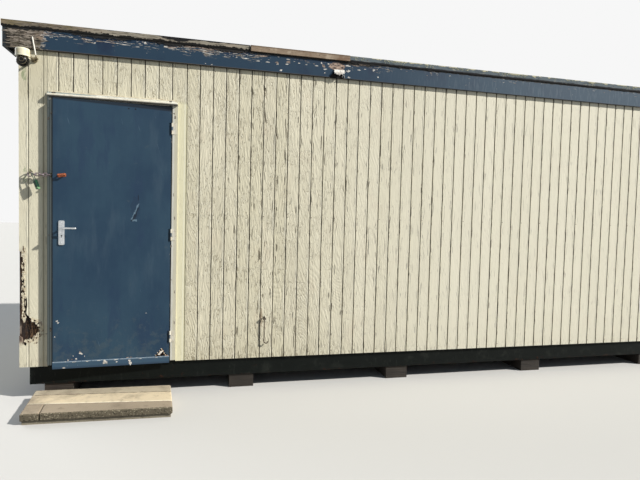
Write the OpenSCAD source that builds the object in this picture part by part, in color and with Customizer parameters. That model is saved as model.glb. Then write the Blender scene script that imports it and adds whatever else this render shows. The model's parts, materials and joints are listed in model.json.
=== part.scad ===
// Portable site cabin: timber walls clad in vertical grooved plywood, standing on a
// steel base frame and timber bearers, with one flush door near the left end of its
// long front wall. The origin is on the ground under the middle of the cabin, +X runs
// along the front wall, the front wall faces -Y, and +Z is up. All sizes are in mm.

/* [Cabin] */
// Length over the cladding
cabin_l = 6096; // [4900:1:7400]
// Width over the cladding
cabin_w = 2438; // [2100:1:3050]
// Height of the cladding up to the lower edge of the fascia
wall_h = 2360; // [2250:1:2700]
// Thickness of the framed and lined wall behind the cladding
core_t = 60; // [45:1:100]

/* [Base] */
// Height of the timber bearers that the base frame stands on
bearer_h = 110; // [60:1:250]
// Width of one bearer
bearer_w = 200; // [120:1:300]
// Number of bearers along the cabin
bearer_n = 5; // [3:2:7]
// Height of the steel base beams
beam_h = 150; // [100:1:220]
// Width of a base beam's flange
beam_w = 75; // [50:1:100]
// Thickness of the steel in a base beam
beam_t = 8; // [5:0.5:12]
// Distance of a long beam's face behind the cladding's face
beam_setback = 20; // [15:1:60]
// Distance of a beam's end from the cabin's corner
beam_end_inset = 64; // [40:1:120]
// Largest distance between cross members
member_pitch = 620; // [450:1:900]
// Height of a cross member
member_h = 100; // [60:1:140]
// Width of a cross member
member_w = 50; // [40:1:80]
// Thickness of the floor boards
floor_t = 18; // [12:1:30]

/* [Cladding] */
// Thickness of the grooved plywood
clad_t = 12; // [9:0.5:18]
// Distance from groove to groove
groove_pitch = 101.6; // [80:0.1:150]
// Distance from the left corner to the first groove
first_board = 64; // [40:1:101]
// How far the grooves right of the door lie off the pitch of those left of it
sheet_shift = 8; // [0:1:20]
// Width of a groove at the face
groove_w = 8; // [4:0.5:12]
// Width of a groove at its bottom
groove_floor_w = 3; // [1:0.5:4]
// Depth of a groove
groove_d = 4; // [2:0.5:6]
// How far the cladding hangs below the top of the base frame
clad_lap = 10; // [5:1:40]
// Width of the corner post behind the front left corner
post_w = 130; // [100:1:140]

/* [Roof] */
// Thickness of the roof with its joists
roof_t = 60; // [40:1:120]
// How far the roof reaches past the end walls
roof_overhang = 75; // [40:1:150]
// Thickness of the ceiling board
ceiling_t = 12; // [6:1:18]
// Thickness of the roofing felt
felt_t = 4; // [2:0.5:6]
// How far the felt reaches past the fascia
felt_drip = 3; // [1:0.5:6]
// Height of the fascia
fascia_h = 142; // [100:1:200]
// Thickness of the fascia
fascia_t = 22; // [12:1:25]
// Thickness of the boards that close the roof's two ends
end_fascia_t = 22; // [15:1:30]
// Height of the batten along the roof's edge
batten_h = 45; // [30:1:60]
// Width of the batten along the roof's edge
batten_w = 45; // [30:1:60]
// How far the edge batten stands in front of the fascia
batten_proud = 7; // [4:1:15]
// How much further the newer middle length of batten stands out
new_batten_step = 8; // [2:1:15]
// Distance from the left corner to the newer length of batten
new_batten_from = 1678; // [1200:1:2000]
// Length of the newer length of batten
new_batten_l = 834; // [500:1:1200]
// Gap between two lengths of batten
batten_gap = 3; // [1:1:10]

/* [Door] */
// Width of the door leaf
leaf_w = 838; // [760:1:915]
// Height of the door leaf
leaf_h = 1981; // [1900:1:2100]
// Thickness of the door leaf
leaf_t = 40; // [35:1:54]
// Distance from the cabin's left corner to the door leaf
leaf_from_corner = 240; // [230:1:700]
// How far the leaf stands open, in degrees
door_ajar = 3; // [0:0.5:10]
// Gap between the leaf and the frame at the hinges, the head and the sill
leaf_gap = 6; // [5:0.5:8]
// Gap between the leaf and the frame on the lock side
lock_gap = 7; // [6.5:0.5:9]
// Gap between the back of the shut leaf and the frame's stop
stop_gap = 5; // [5:0.5:8]
// How far the leaf's face stands in front of the cladding when shut
leaf_proud = 12; // [12:1:16]
// Width of the frame's face
frame_face = 39; // [30:1:60]
// How far the frame's face stands in front of the cladding
frame_proud = 10; // [4:1:10]
// Width of the stop that the leaf shuts against
stop_w = 15; // [10:1:20]
// Gap between the frame and the wall that it stands in
frame_fit = 2; // [1:0.5:4]
// Thickness of the floor sill across the doorway
sill_h = 21; // [18.5:0.5:22]
// Height of the drip strip over the door
drip_h = 26; // [18:1:32]
// How far the drip strip stands in front of the frame
drip_d = 25; // [8:1:30]
// How far the drip strip stops short of each side of the frame
drip_inset = 2; // [1:1:20]
// Height of the weather bar across the foot of the leaf
bar_h = 54; // [40:1:70]
// How far the weather bar laps the leaf's face
bar_lap = 10; // [8:1:20]
// Thickness of the weather bar
bar_t = 5; // [3:0.5:5]

/* [Hinges] */
// Radius of a hinge's knuckle
knuckle_r = 6; // [5:0.5:6]
// Radius of a hinge's pin
pin_r = 3; // [2:0.5:4]
// Running clearance round a hinge's pin
pin_play = 0.05; // [0.02:0.01:0.1]
// Length of a hinge
hinge_l = 88; // [76:1:120]
// Gap between two knuckles of a hinge
knuckle_gap = 0.5; // [0.3:0.1:1]
// Thickness of a hinge's plates
hinge_plate_t = 2.5; // [2:0.5:3]
// Distance of the hinge pin in front of the leaf's face
pin_proud = 5; // [5:0.5:7]
// Heights of the hinges' middles above the foot of the leaf
hinge_heights = [166, 979, 1812];

/* [Handle] */
// Width of the handle's plate
plate_w = 40; // [36:1:55]
// Height of the handle's plate
plate_h = 182; // [150:1:220]
// Thickness of the handle's plate
plate_t = 8; // [5:0.5:10]
// Distance from the leaf's free edge to the middle of the plate
backset = 62; // [45:1:70]
// Height of the lever's axis above the foot of the leaf
lever_height = 1019; // [950:1:1100]
// Distance from the lever's axis up to the top of the plate
plate_above_lever = 56; // [40:1:80]
// Distance from the lever's axis down to the keyhole
key_below_lever = 57; // [48:1:80]
// Length of the lever from its axis
lever_l = 108; // [90:1:130]
// Radius of the lever's grip
lever_r = 7; // [5:0.5:9]
// Distance of the grip's middle from the face of the plate
lever_out = 42; // [30:1:55]
// Radius of the lever's neck where it turns in the plate
neck_r = 9; // [8:0.5:11]
// Running clearance round the neck
neck_play = 0.05; // [0.02:0.01:0.1]
// Radius of the spindle between the two levers
spindle_r = 4; // [3:0.5:5]

/* [Chain and padlock] */
// Height of the lock chain above the ground
chain_z = 1698; // [1500:1:1800]
// Thickness of the chain's wire
wire_d = 8; // [5:0.5:8]
// Inner length of a chain link
link_in_l = 26; // [22:1:32]
// Inner width of a chain link
link_in_w = 12; // [10:0.5:14]
// Number of links between the ring and the frame
link_n = 5; // [5:2:5]
// Inner radius of the ring on the wall
ring_in_r = 12; // [11:1:22]
// Distance from the left corner to the middle of the ring
ring_from_corner = 84; // [60:1:120]
// Distance of the chain in front of the cladding
chain_out = 32; // [30:1:40]
// Width of the padlock's body
padlock_w = 29; // [26:1:45]
// Height of the padlock's body
padlock_h = 70; // [40:1:80]
// Thickness of the padlock's body
padlock_t = 17; // [14:1:24]
// Clear height of the padlock's shackle
shackle_reach = 44; // [24:1:60]

/* [Camera] */
// Radius of the camera's cap
cap_r = 46; // [40:1:70]
// Height of the camera's cap
cap_h = 55; // [45:1:80]
// Radius of the dark ball under the cap
ball_r = 42; // [35:1:54]
// Distance of the ball's middle below the cap
ball_drop = 29; // [15:1:40]
// Distance from the left corner to the camera's middle
camera_from_corner = 68; // [60:1:90]
// Distance of the camera's middle in front of the cladding
camera_out = 122; // [110:1:160]
// Distance of the cap's top below the fascia's lower edge
camera_drop = 35; // [10:1:60]
// Length of the camera's aerial
aerial_l = 150; // [100:1:200]
// Radius of the camera's aerial
aerial_r = 4.5; // [2:0.5:6]

/* [Wall hook] */
// Distance from the left corner to the wall hook
hook_from_corner = 1834; // [1750:1:1950]
// Height of the wall hook's eye above the ground
hook_z = 590; // [500:1:800]
// Length of the hanging hook
hook_l = 190; // [150:1:220]
// Radius of the hook's rod
hook_r = 4; // [3:0.5:5]

/* [Doorstep] */
// Length of the doorstep
step_l = 980; // [900:1:1100]
// Depth of the doorstep from back to front
step_d = 466; // [400:1:600]
// Distance from the cabin's left corner to the doorstep's back left corner
step_from_corner = 115; // [0:1:300]
// Length of the short stone at the left end of the front row
short_stone_l = 118; // [60:1:300]
// Thickness of the step's kerb stones
kerb_t = 52; // [40:1:80]
// Height of the course below the kerb stones
course_h = 24; // [15:1:60]
// How far the lower course stands back from the kerbs
course_inset = 12; // [5:1:30]
// Gap between two kerb stones
kerb_gap = 3; // [1:0.5:6]
// Distance of the step's back in front of the plane of the cladding
step_gap = 18; // [5:1:40]
// How far the step lies askew, in degrees
step_turn = -2; // [-4:0.5:4]
// How far each row is laid off to the right of what a square step has, in degrees
step_skew = 7.5; // [-10:0.5:10]

/* [Hidden] */
$fn = 48;
// A cut reaches this far past the face that it opens
over = 1;

// Half sizes over the cladding and over the wall behind it
half_l = cabin_l / 2;
half_w = cabin_w / 2;
core_x = half_l - clad_t;
core_y = half_w - clad_t;
inner_x = core_x - core_t;
inner_y = core_y - core_t;

// Heights above the ground
beam_top = bearer_h + beam_h;
floor_top = beam_top + floor_t;
clad_z = beam_top - clad_lap;
fascia_z = clad_z + wall_h;
roof_top = fascia_z + fascia_h;
wall_top = roof_top - roof_t;
felt_top = roof_top + felt_t;

// The front and back faces of the leaf when shut, and its edges
face_y = -half_w - leaf_proud;
leaf_back_y = face_y + leaf_t;
leaf_x0 = -half_l + leaf_from_corner;
leaf_x1 = leaf_x0 + leaf_w;
leaf_z0 = beam_top + sill_h + leaf_gap;
leaf_z1 = leaf_z0 + leaf_h;
pin_x = leaf_x1 + leaf_gap / 2;
pin_y = face_y - pin_proud;

// The frame round the leaf
frame_x0 = leaf_x0 - lock_gap - frame_face;
frame_x1 = leaf_x1 + leaf_gap + frame_face;
frame_y0 = -half_w - frame_proud;
frame_z1 = leaf_z1 + leaf_gap + frame_face;
stop_y = leaf_back_y + stop_gap;

// The lever's axis on the leaf
lever_x = leaf_x0 + backset;
lever_z = leaf_z0 + lever_height;

function groove_xs(from, to, shift = 0) =
    [for (x = -half_l + first_board + shift; x < half_l - groove_w; x = x + groove_pitch)
        if (x > from + groove_w && x < to - groove_w) x];
function mirrored_ys(from, to) =
    [for (y = -half_w + first_board; y < half_w - groove_w; y = y + groove_pitch)
        if (y > from + groove_w && y < to - groove_w) y];

// A box between two corners
module box(a, b) {
    translate(a) cube(b - a);
}

// A closed ring of wire in the XZ plane
module wire_ring(inner_r, wire_r) {
    rotate([90, 0, 0]) rotate_extrude() translate([inner_r + wire_r, 0]) circle(wire_r);
}

// A rectangle with round corners, its lower left corner at the origin
module rounded_square(w, h, r) {
    translate([0, r]) square([w, h - 2 * r]);
    translate([r, 0]) square([w - 2 * r, h]);
    for (x = [r, w - r], y = [r, h - r]) translate([x, y]) circle(r);
}

// A bent wire staple with its crown along X at y = 0 and its legs back to y = out
module wire_staple(span, out, r, rose_r) {
    rotate([0, 90, 0]) cylinder(r = r, h = span, center = true);
    for (side = [-1, 1]) translate([side * span / 2, 0, 0]) {
        sphere(r);
        rotate([-90, 0, 0]) cylinder(r = r, h = out);
        translate([0, out, 0]) rotate([90, 0, 0]) cylinder(r = rose_r, h = 0.6 * r);
    }
}

// Grooved plywood between u0 and u1, standing up from z0 to z1, with its face at y = 0
module grooved_sheet(u0, u1, z0, z1, grooves) {
    translate([0, 0, z0]) linear_extrude(z1 - z0) difference() {
        translate([u0, 0]) square([u1 - u0, clad_t]);
        for (u = grooves) polygon([
            [u - groove_w / 2 - over / 2, -over], [u + groove_w / 2 + over / 2, -over],
            [u + groove_floor_w / 2, groove_d], [u - groove_floor_w / 2, groove_d]
        ]);
    }
}

// A channel along +X from x0 to x1 with its web at y = 0 and its flanges towards +Y
module channel(x0, x1) {
    translate([x0, 0, 0]) rotate([90, 0, 90]) linear_extrude(x1 - x0) difference() {
        square([beam_w, beam_h]);
        translate([beam_t, beam_t]) square([beam_w, beam_h - 2 * beam_t]);
    }
}

// Puts the door's own pieces where they hang on the hinge pin
module on_leaf() {
    translate([pin_x, pin_y, 0]) rotate([0, 0, door_ajar]) translate([-pin_x, -pin_y, 0])
        children();
}

// Base

module ground_bearers() {
    reach = half_l - beam_end_inset - bearer_w;
    color("#4a4137") for (i = [0 : bearer_n - 1])
        translate([-reach + 2 * reach * i / (bearer_n - 1), 0, bearer_h / 2])
            cube([bearer_w, cabin_w - 2 * beam_setback - 20, bearer_h], center = true);
}

module long_beam() {
    translate([0, -half_w + beam_setback, bearer_h])
        channel(-half_l + beam_end_inset, half_l - beam_end_inset);
}

module base_beam_front() {
    color("#1b1d1e") long_beam();
}

module base_beam_back() {
    color("#1b1d1e") rotate([0, 0, 180]) long_beam();
}

module base_beam_ends() {
    inner_l = cabin_w - 2 * (beam_setback + beam_w);
    color("#1b1d1e") for (turn = [0, 180]) rotate([0, 0, turn])
        translate([-half_l + beam_end_inset, 0, bearer_h]) rotate([0, 0, -90])
            channel(-inner_l / 2, inner_l / 2);
}

module cross_members() {
    first = -half_l + beam_end_inset + beam_w;
    bays = ceil(-2 * first / member_pitch);
    web_y = half_w - beam_setback - beam_w;
    color("#1b1d1e") for (i = [1 : bays - 1])
        translate([first - 2 * first * i / bays, 0, beam_top - member_h / 2])
            cube([member_w, 2 * web_y, member_h], center = true);
}

module floor_deck() {
    color("#7a6243") difference() {
        box([-core_x, -core_y, beam_top], [core_x, core_y, floor_top]);
        box([frame_x0 - frame_fit, -core_y - over, beam_top - over],
            [frame_x1 + frame_fit, -inner_y + frame_fit, floor_top + over]);
    }
}

// Walls

module wall_core(a, b) {
    color("#b9a687") box([a[0], a[1], a[2]], [b[0], b[1], b[2]]);
}

module corner_post() {
    color("#6b4a32")
        box([-core_x, -core_y, floor_top], [-core_x + post_w, -inner_y, wall_top]);
}

module front_wall_left() {
    wall_core([-core_x + post_w, -core_y, floor_top], [frame_x0 - frame_fit, -inner_y, wall_top]);
}

module front_wall_over_door() {
    wall_core([frame_x0 - frame_fit, -core_y, frame_z1 + frame_fit],
        [frame_x1 + frame_fit, -inner_y, wall_top]);
}

module front_wall_right() {
    wall_core([frame_x1 + frame_fit, -core_y, floor_top], [core_x, -inner_y, wall_top]);
}

module back_wall() {
    wall_core([-core_x, inner_y, floor_top], [core_x, core_y, wall_top]);
}

module left_wall() {
    wall_core([-core_x, -inner_y, floor_top], [-inner_x, inner_y, wall_top]);
}

module right_wall() {
    mirror([1, 0, 0]) left_wall();
}

// Cladding

module front_sheet(x0, x1, z0, shift = 0) {
    color("#ded7bb") translate([0, -half_w, 0])
        grooved_sheet(x0, x1, z0, wall_top, groove_xs(x0, x1, shift));
}

// What has rotted away at the front left corner, as an outline seen from the front.
// Distances are from the corner and from the lower edge of the cladding.
module rotted_outline() {
    polygon([
        [-over, 880], [8, 874], [18, 845], [33, 800], [26, 742], [20, 700], [36, 660],
        [42, 610], [40, 560], [52, 520], [54, 460], [44, 412], [66, 382], [72, 374],
        [118, 352], [140, 336], [140, 262], [118, 256], [104, 240], [92, 236], [84, 204],
        [70, 196], [52, 184], [42, 160], [30, 172], [16, 228], [-over, 240]
    ]);
}

module front_cladding_left() {
    patch_z = clad_z + 250;
    patch_from = 125;
    color("#ded7bb") difference() {
        front_sheet(-half_l, frame_x0 - frame_fit / 2, clad_z);
        translate([-half_l, -half_w + clad_t + over, clad_z]) rotate([90, 0, 0])
            linear_extrude(clad_t + 2 * over) rotted_outline();
        box([-half_l + patch_from, -half_w - over, patch_z],
            [frame_x0 + over, -half_w + groove_d, patch_z + groove_floor_w]);
    }
}

module front_cladding_over_door() {
    front_sheet(frame_x0 - frame_fit / 2, frame_x1 + frame_fit / 2, frame_z1 + frame_fit / 2);
}

module front_cladding_right() {
    front_sheet(frame_x1 + frame_fit / 2, half_l, clad_z, sheet_shift);
}

module back_cladding() {
    color("#ded7bb") rotate([0, 0, 180]) translate([0, -half_w, 0])
        grooved_sheet(-half_l, half_l, clad_z, wall_top, groove_xs(-half_l, half_l));
}

module end_sheet() {
    color("#ded7bb") rotate([0, 0, -90]) translate([0, -half_l, 0])
        grooved_sheet(-core_y, core_y, clad_z, wall_top, mirrored_ys(-core_y, core_y));
}

module left_cladding() {
    end_sheet();
}

module right_cladding() {
    mirror([1, 0, 0]) end_sheet();
}

// Roof

module ceiling_board() {
    color("#cfc7b2")
        box([-inner_x, -inner_y, wall_top - ceiling_t], [inner_x, inner_y, wall_top]);
}

module roof_deck() {
    color("#8a7350") box([-half_l - roof_overhang, -half_w, wall_top],
        [half_l + roof_overhang, half_w, roof_top]);
}

module roof_felt() {
    x = half_l + roof_overhang + end_fascia_t + felt_drip;
    y = half_w + fascia_t + felt_drip;
    color("#2b2d2e") box([-x, -y, roof_top], [x, y, felt_top]);
}

module long_fascia() {
    box([-half_l - roof_overhang, -half_w - fascia_t, fascia_z],
        [half_l + roof_overhang, -half_w, roof_top]);
}

// The fascia's lower edge has broken away in one place
module fascia_front() {
    color("#34495c") difference() {
        long_fascia();
        translate([-half_l + 2338, -half_w + over, fascia_z]) rotate([90, 0, 0])
            linear_extrude(fascia_t + 2 * over) polygon([
                [0, -over], [14, 22], [30, 38], [46, 58], [72, 62], [98, 54], [118, 30],
                [124, 12], [122, -over]
            ]);
    }
}

module fascia_back() {
    color("#34495c") rotate([0, 0, 180]) long_fascia();
}

module fascia_ends() {
    color("#23282c") for (turn = [0, 180]) rotate([0, 0, turn])
        box([-half_l - roof_overhang - end_fascia_t, -half_w - fascia_t, fascia_z],
            [-half_l - roof_overhang, half_w + fascia_t, roof_top]);
}

// The outer face of the edge battens, seen from above
batten_x = half_l + roof_overhang + end_fascia_t + batten_proud;
batten_y = half_w + fascia_t + batten_proud;

module front_batten(x0, x1, step) {
    box([x0, -batten_y - step, felt_top], [x1, -batten_y + batten_w, felt_top + batten_h]);
}

module edge_batten_left() {
    color("#7f7562") front_batten(-batten_x, -half_l + new_batten_from - batten_gap, 0);
}

module edge_batten_new() {
    from = -half_l + new_batten_from;
    color("#94795a") front_batten(from, from + new_batten_l, new_batten_step);
}

module edge_batten_right() {
    from = -half_l + new_batten_from + new_batten_l + batten_gap;
    color("#58626a") front_batten(from, batten_x, 0);
}

module edge_battens_plain() {
    inner = batten_y - batten_w - batten_gap;
    color("#7f7562") {
        box([-batten_x, inner + batten_gap, felt_top], [batten_x, batten_y, felt_top + batten_h]);
        for (side = [-1, 1]) translate([side * (batten_x - batten_w / 2), 0, felt_top + batten_h / 2])
            cube([batten_w, 2 * inner, batten_h], center = true);
    }
}

// Door frame

// One jamb in plan, with x = 0 at its outer side and +x towards the doorway
module jamb_plan(gap) {
    polygon([
        [0, frame_y0], [frame_face, frame_y0], [frame_face, stop_y],
        [frame_face + gap - leaf_gap + stop_w, stop_y], [frame_face + gap - leaf_gap + stop_w, -inner_y],
        [0, -inner_y]
    ]);
}

module door_jambs() {
    jamb_top = frame_z1 - frame_face;
    color("#d9d3bd") {
        translate([frame_x0, 0, beam_top]) linear_extrude(jamb_top - beam_top)
            jamb_plan(lock_gap);
        translate([frame_x1, 0, beam_top]) mirror([1, 0, 0])
            linear_extrude(jamb_top - beam_top) jamb_plan(leaf_gap);
    }
}

module door_head() {
    under = frame_z1 - frame_face;
    stop_x0 = frame_x0 + frame_face + lock_gap - leaf_gap + stop_w;
    stop_x1 = frame_x1 - frame_face - stop_w;
    color("#d9d3bd") {
        box([frame_x0, frame_y0, under], [frame_x1, -inner_y, frame_z1]);
        box([stop_x0, stop_y, under - stop_w], [stop_x1, -inner_y, under]);
    }
}

module door_sill() {
    color("#6d5a42") difference() {
        box([frame_x0 + frame_face, -half_w, beam_top],
            [frame_x1 - frame_face, -inner_y, beam_top + sill_h]);
        box([frame_x0, stop_y - frame_fit / 2, beam_top - over],
            [frame_x0 + frame_face + lock_gap - leaf_gap + stop_w, 0, beam_top + sill_h + over]);
        box([frame_x1 - frame_face - stop_w, stop_y - frame_fit / 2, beam_top - over],
            [frame_x1, 0, beam_top + sill_h + over]);
    }
}

module drip_strip() {
    under = leaf_z1 + leaf_gap + 4;
    color("#e6dfc6") translate([frame_x0 + drip_inset, frame_y0, under]) rotate([90, 0, 90])
        linear_extrude(frame_x1 - frame_x0 - 2 * drip_inset) polygon([
            [0, 0], [-drip_d, 0], [-drip_d, drip_h * 0.7], [0, drip_h]
        ]);
}

// Door leaf and what is fixed to it

// The hinge's knuckles stand in this pocket in the corner of the leaf, and its plate
// is let into the leaf's edge behind the pocket, up to this far from the leaf's back
pocket_w = 18;
pocket_d = 14;
pocket_play = 2;
hinge_plate_back = 4;

module door_leaf() {
    color("#2f4860") on_leaf() difference() {
        box([leaf_x0, face_y, leaf_z0], [leaf_x1, leaf_back_y, leaf_z1]);
        for (h = hinge_heights) translate([leaf_x1, face_y, leaf_z0 + h]) {
            box([-pocket_w, -over, -hinge_l / 2 - pocket_play],
                [over, pocket_d, hinge_l / 2 + pocket_play]);
            box([-hinge_plate_t, pocket_d - over, -hinge_l / 2],
                [over, leaf_t - hinge_plate_back, hinge_l / 2]);
        }
        translate([lever_x, face_y - over, lever_z]) rotate([-90, 0, 0])
            cylinder(r = neck_r + lock_play, h = leaf_t + 2 * over);
        translate([lever_x, face_y - over, lever_z - key_below_lever]) rotate([-90, 0, 0])
            cylinder(r = key_r + lock_play, h = leaf_t + 2 * over);
        broken_corner();
    }
}

// The holes in the leaf are this much larger than the neck and the keyhole
lock_play = 2;
key_r = 4.5;
key_slot_w = 4;
key_slot_l = 14;

// The facing has broken out in a triangle above the weather bar, near the hinge side
module broken_corner() {
    depth = 16;
    translate([leaf_x1, face_y + depth, leaf_z0 + bar_lap]) rotate([90, 0, 0])
        linear_extrude(depth + over) polygon([
            [-113, 3], [-96, 20], [-74, 46], [-58, 70], [-52, 68], [-44, 44], [-30, 22],
            [-14, 6], [-60, 2]
        ]);
}

module weather_bar() {
    color("#3f618c") on_leaf() {
        top = leaf_z0 + bar_lap;
        box([leaf_x0, face_y - bar_t, top - bar_h], [leaf_x1, face_y, top]);
    }
}

// Hinges

knuckle_l = (hinge_l - 2 * knuckle_gap) / 3;

module hinges_frame_side() {
    color("#d9d3bd") for (h = hinge_heights) translate([pin_x, pin_y, leaf_z0 + h]) {
        cylinder(r = pin_r, h = hinge_l, center = true);
        plate_y = frame_y0 - pin_y;
        plate_x = knuckle_r + knuckle_gap;
        plate_w = frame_face - 13;
        for (end = [-1, 1]) translate([0, 0, end * (knuckle_l + knuckle_gap)]) {
            cylinder(r = knuckle_r, h = knuckle_l, center = true);
            box([0, plate_y - hinge_plate_t, -knuckle_l / 2],
                [plate_x + over, plate_y, knuckle_l / 2]);
        }
        box([plate_x, plate_y - hinge_plate_t, -hinge_l / 2],
            [plate_x + plate_w, plate_y, hinge_l / 2]);
    }
}

module hinges_leaf_side() {
    edge_x = leaf_x1 - pin_x;
    leaf_y = face_y - pin_y;
    color("#5a6470") on_leaf() for (h = hinge_heights)
        translate([pin_x, pin_y, leaf_z0 + h]) difference() {
            union() {
                cylinder(r = knuckle_r, h = knuckle_l, center = true);
                box([edge_x - hinge_plate_t, 0, -knuckle_l / 2],
                    [edge_x, leaf_y + pocket_d + over, knuckle_l / 2]);
                box([edge_x - hinge_plate_t, leaf_y + pocket_d - 4, -hinge_l / 2],
                    [edge_x, leaf_y + leaf_t - hinge_plate_back, hinge_l / 2]);
            }
            cylinder(r = pin_r + pin_play, h = hinge_l, center = true);
        }
}

// Handle

// An upright plate with round corners, lying on y = 0 and thick towards -Y
module handle_plate() {
    corner_r = 7;
    difference() {
        translate([-plate_w / 2, 0, plate_above_lever - plate_h]) rotate([90, 0, 0])
            linear_extrude(plate_t) rounded_square(plate_w, plate_h, corner_r);
        translate([0, over, 0]) rotate([90, 0, 0])
            cylinder(r = neck_r + neck_play, h = plate_t + 2 * over);
        translate([0, over, -key_below_lever]) rotate([90, 0, 0])
            cylinder(r = key_r, h = plate_t + 2 * over);
        box([-key_slot_w / 2, -plate_t - over, -key_below_lever - key_slot_l],
            [key_slot_w / 2, over, -key_below_lever]);
    }
}

module handle_plates() {
    color("#b9bdbf") on_leaf() {
        translate([lever_x, face_y, lever_z]) handle_plate();
        translate([lever_x, leaf_back_y, lever_z]) mirror([0, 1, 0]) handle_plate();
    }
}

// One lever on y = 0, reaching out towards -Y and along +X
module lever() {
    grip_y = -plate_t - lever_out;
    rotate([90, 0, 0]) cylinder(r = neck_r, h = plate_t + 6);
    rotate([90, 0, 0]) cylinder(r = lever_r, h = -grip_y);
    translate([0, grip_y, 0]) sphere(lever_r);
    translate([0, grip_y, 0]) rotate([0, 90, 0]) cylinder(r = lever_r, h = lever_l - lever_r);
    translate([lever_l - lever_r, grip_y, 0]) sphere(lever_r);
}

module lever_handle() {
    color("#c3c7c9") on_leaf() translate([lever_x, 0, lever_z]) {
        translate([0, face_y, 0]) lever();
        translate([0, leaf_back_y, 0]) mirror([0, 1, 0]) lever();
        translate([0, face_y - over, 0]) rotate([-90, 0, 0])
            cylinder(r = spindle_r, h = leaf_t + 2 * over);
    }
}

// The staple that the chain was hooked into, on its plate and bent out of true
staple_span = 42;
staple_out = 26;
staple_r = 6;
staple_plate = [60, 26, 2.5];

module door_staple() {
    from_edge = 62;
    color("#8e3a2c") on_leaf() translate([leaf_x0 + from_edge, face_y, chain_z])
        rotate([0, -8, 0]) {
            translate([0, -staple_out, 0])
                wire_staple(staple_span, staple_out, staple_r, staple_r + 3);
            translate([-staple_plate[0] / 2, 0, -staple_plate[1] / 2]) rotate([90, 0, 0])
                linear_extrude(staple_plate[2]) rounded_square(staple_plate[0], staple_plate[1], 8);
        }
}

// Lock chain, its fixings and the padlock

chain_y = -half_w - chain_out;
ring_x = -half_l + ring_from_corner;
link_play = 0.3;
link_pitch = link_in_l - link_play;
wire_r = wire_d / 2;
first_link_x = ring_x + ring_in_r + link_in_l / 2 - link_play;
link_end_x = first_link_x + (link_n - 1) * link_pitch + link_in_l / 2;

// A chain link lying along X in the XZ plane
module chain_link() {
    bend_r = link_in_w / 2 + wire_r;
    straight = link_in_l - link_in_w;
    for (side = [-1, 1]) {
        translate([side * straight / 2, 0, 0]) rotate([90, 0, 0])
            rotate(side * 90 - 90) rotate([0, 0, -90]) rotate_extrude(angle = 180)
                translate([bend_r, 0]) circle(wire_r);
        translate([0, 0, side * bend_r]) rotate([0, 90, 0])
            cylinder(r = wire_r, h = straight, center = true);
    }
}

module lock_chain() {
    color("#6f6a66") {
        translate([ring_x, chain_y, chain_z]) wire_ring(ring_in_r, wire_r);
        for (i = [0 : link_n - 1]) translate([first_link_x + i * link_pitch, chain_y, chain_z])
            rotate([i % 2 == 0 ? 90 : 0, 0, 0]) chain_link();
    }
}

// An eye that stands out of the wall, its opening along X
module screw_eye(out, inner_r, r) {
    translate([0, -out, 0]) rotate([0, 0, 90]) wire_ring(inner_r, r);
    rotate([90, 0, 0]) cylinder(r = r, h = out - inner_r - r / 2);
    rotate([90, 0, 0]) cylinder(r = 2.2 * r, h = r);
}

// The ring rests in the eye, and the last link is held by a staple on the frame
module wall_eye() {
    r = 4;
    inner_r = 10;
    end_r = 3;
    ring_seat = inner_r - wire_r - 2 * link_play;
    color("#8d8a84") {
        translate([ring_x, -half_w, chain_z + ring_in_r + wire_r + ring_seat])
            screw_eye(chain_out, inner_r, r);
        translate([link_end_x - end_r - link_play, chain_y, chain_z]) rotate([0, 90, 0])
            wire_staple(2 * link_in_w, chain_out - frame_proud, end_r, 2 * end_r);
    }
}

// The padlock's inner leg passes down through the first link, and its shackle's
// crown rests on the front side of that link
module padlock() {
    shackle_r = 3;
    inside = wire_r + 2;
    leg = inside + shackle_r;
    sunk = 4;
    lean = 19;
    turn = 20;
    side = link_in_w / 2 + wire_r;
    crown = (wire_r + 2 * link_play + side * tan(turn) * sin(lean)) / cos(lean);
    color("#2f7d4c") translate([first_link_x, chain_y - side + leg * cos(turn), chain_z])
        rotate([0, -lean, 0]) rotate([0, 0, -90 - turn]) translate([leg, 0, crown - inside]) {
            rotate([90, 0, 0]) rotate_extrude(angle = 180) translate([leg, 0]) circle(shackle_r);
            for (end = [-1, 1]) translate([end * leg, 0, -shackle_reach - sunk])
                cylinder(r = shackle_r, h = shackle_reach + sunk);
            translate([-padlock_w / 2, padlock_t / 2, -shackle_reach - padlock_h])
                rotate([90, 0, 0]) linear_extrude(padlock_t)
                    rounded_square(padlock_w, padlock_h, 9);
        }
}

// Hook that hangs from an eye on the wall and holds the open door back
module wall_hook() {
    eye_out = 20;
    eye_in_r = 6;
    ring_r = eye_in_r - 1;
    bend_r = 16;
    rod_r = hook_r - 0.5;
    color("#6a6257") translate([-half_l + hook_from_corner, 0, hook_z]) {
        translate([0, -half_w, 0]) screw_eye(eye_out, eye_in_r, 3);
        translate([0, -half_w - eye_out, link_play - eye_in_r - ring_r]) {
            wire_ring(ring_r, hook_r);
            translate([0, 0, -hook_l - 2]) cylinder(r = rod_r, h = hook_l + 2 - ring_r - hook_r / 2);
            translate([bend_r, 0, -hook_l]) rotate([-90, 0, 0]) rotate_extrude(angle = 180)
                translate([bend_r, 0]) circle(hook_r);
        }
    }
}

// Camera

camera_x = -half_l + camera_from_corner;
camera_y = -half_w - camera_out;
cap_top = fascia_z - camera_drop;
arm_x = camera_x + 38;

module camera_cap() {
    edge_r = 10;
    color("#e4dcc0") translate([camera_x, camera_y, cap_top - cap_h]) rotate_extrude() {
        square([cap_r, cap_h - edge_r]);
        square([cap_r - edge_r, cap_h]);
        translate([cap_r - edge_r, cap_h - edge_r]) intersection() {
            circle(edge_r);
            square(edge_r);
        }
    }
}

// The dark ball looks out and to the left, with its lens sunk in a short barrel
lens_r = 15;
barrel_r = 20;

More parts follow.
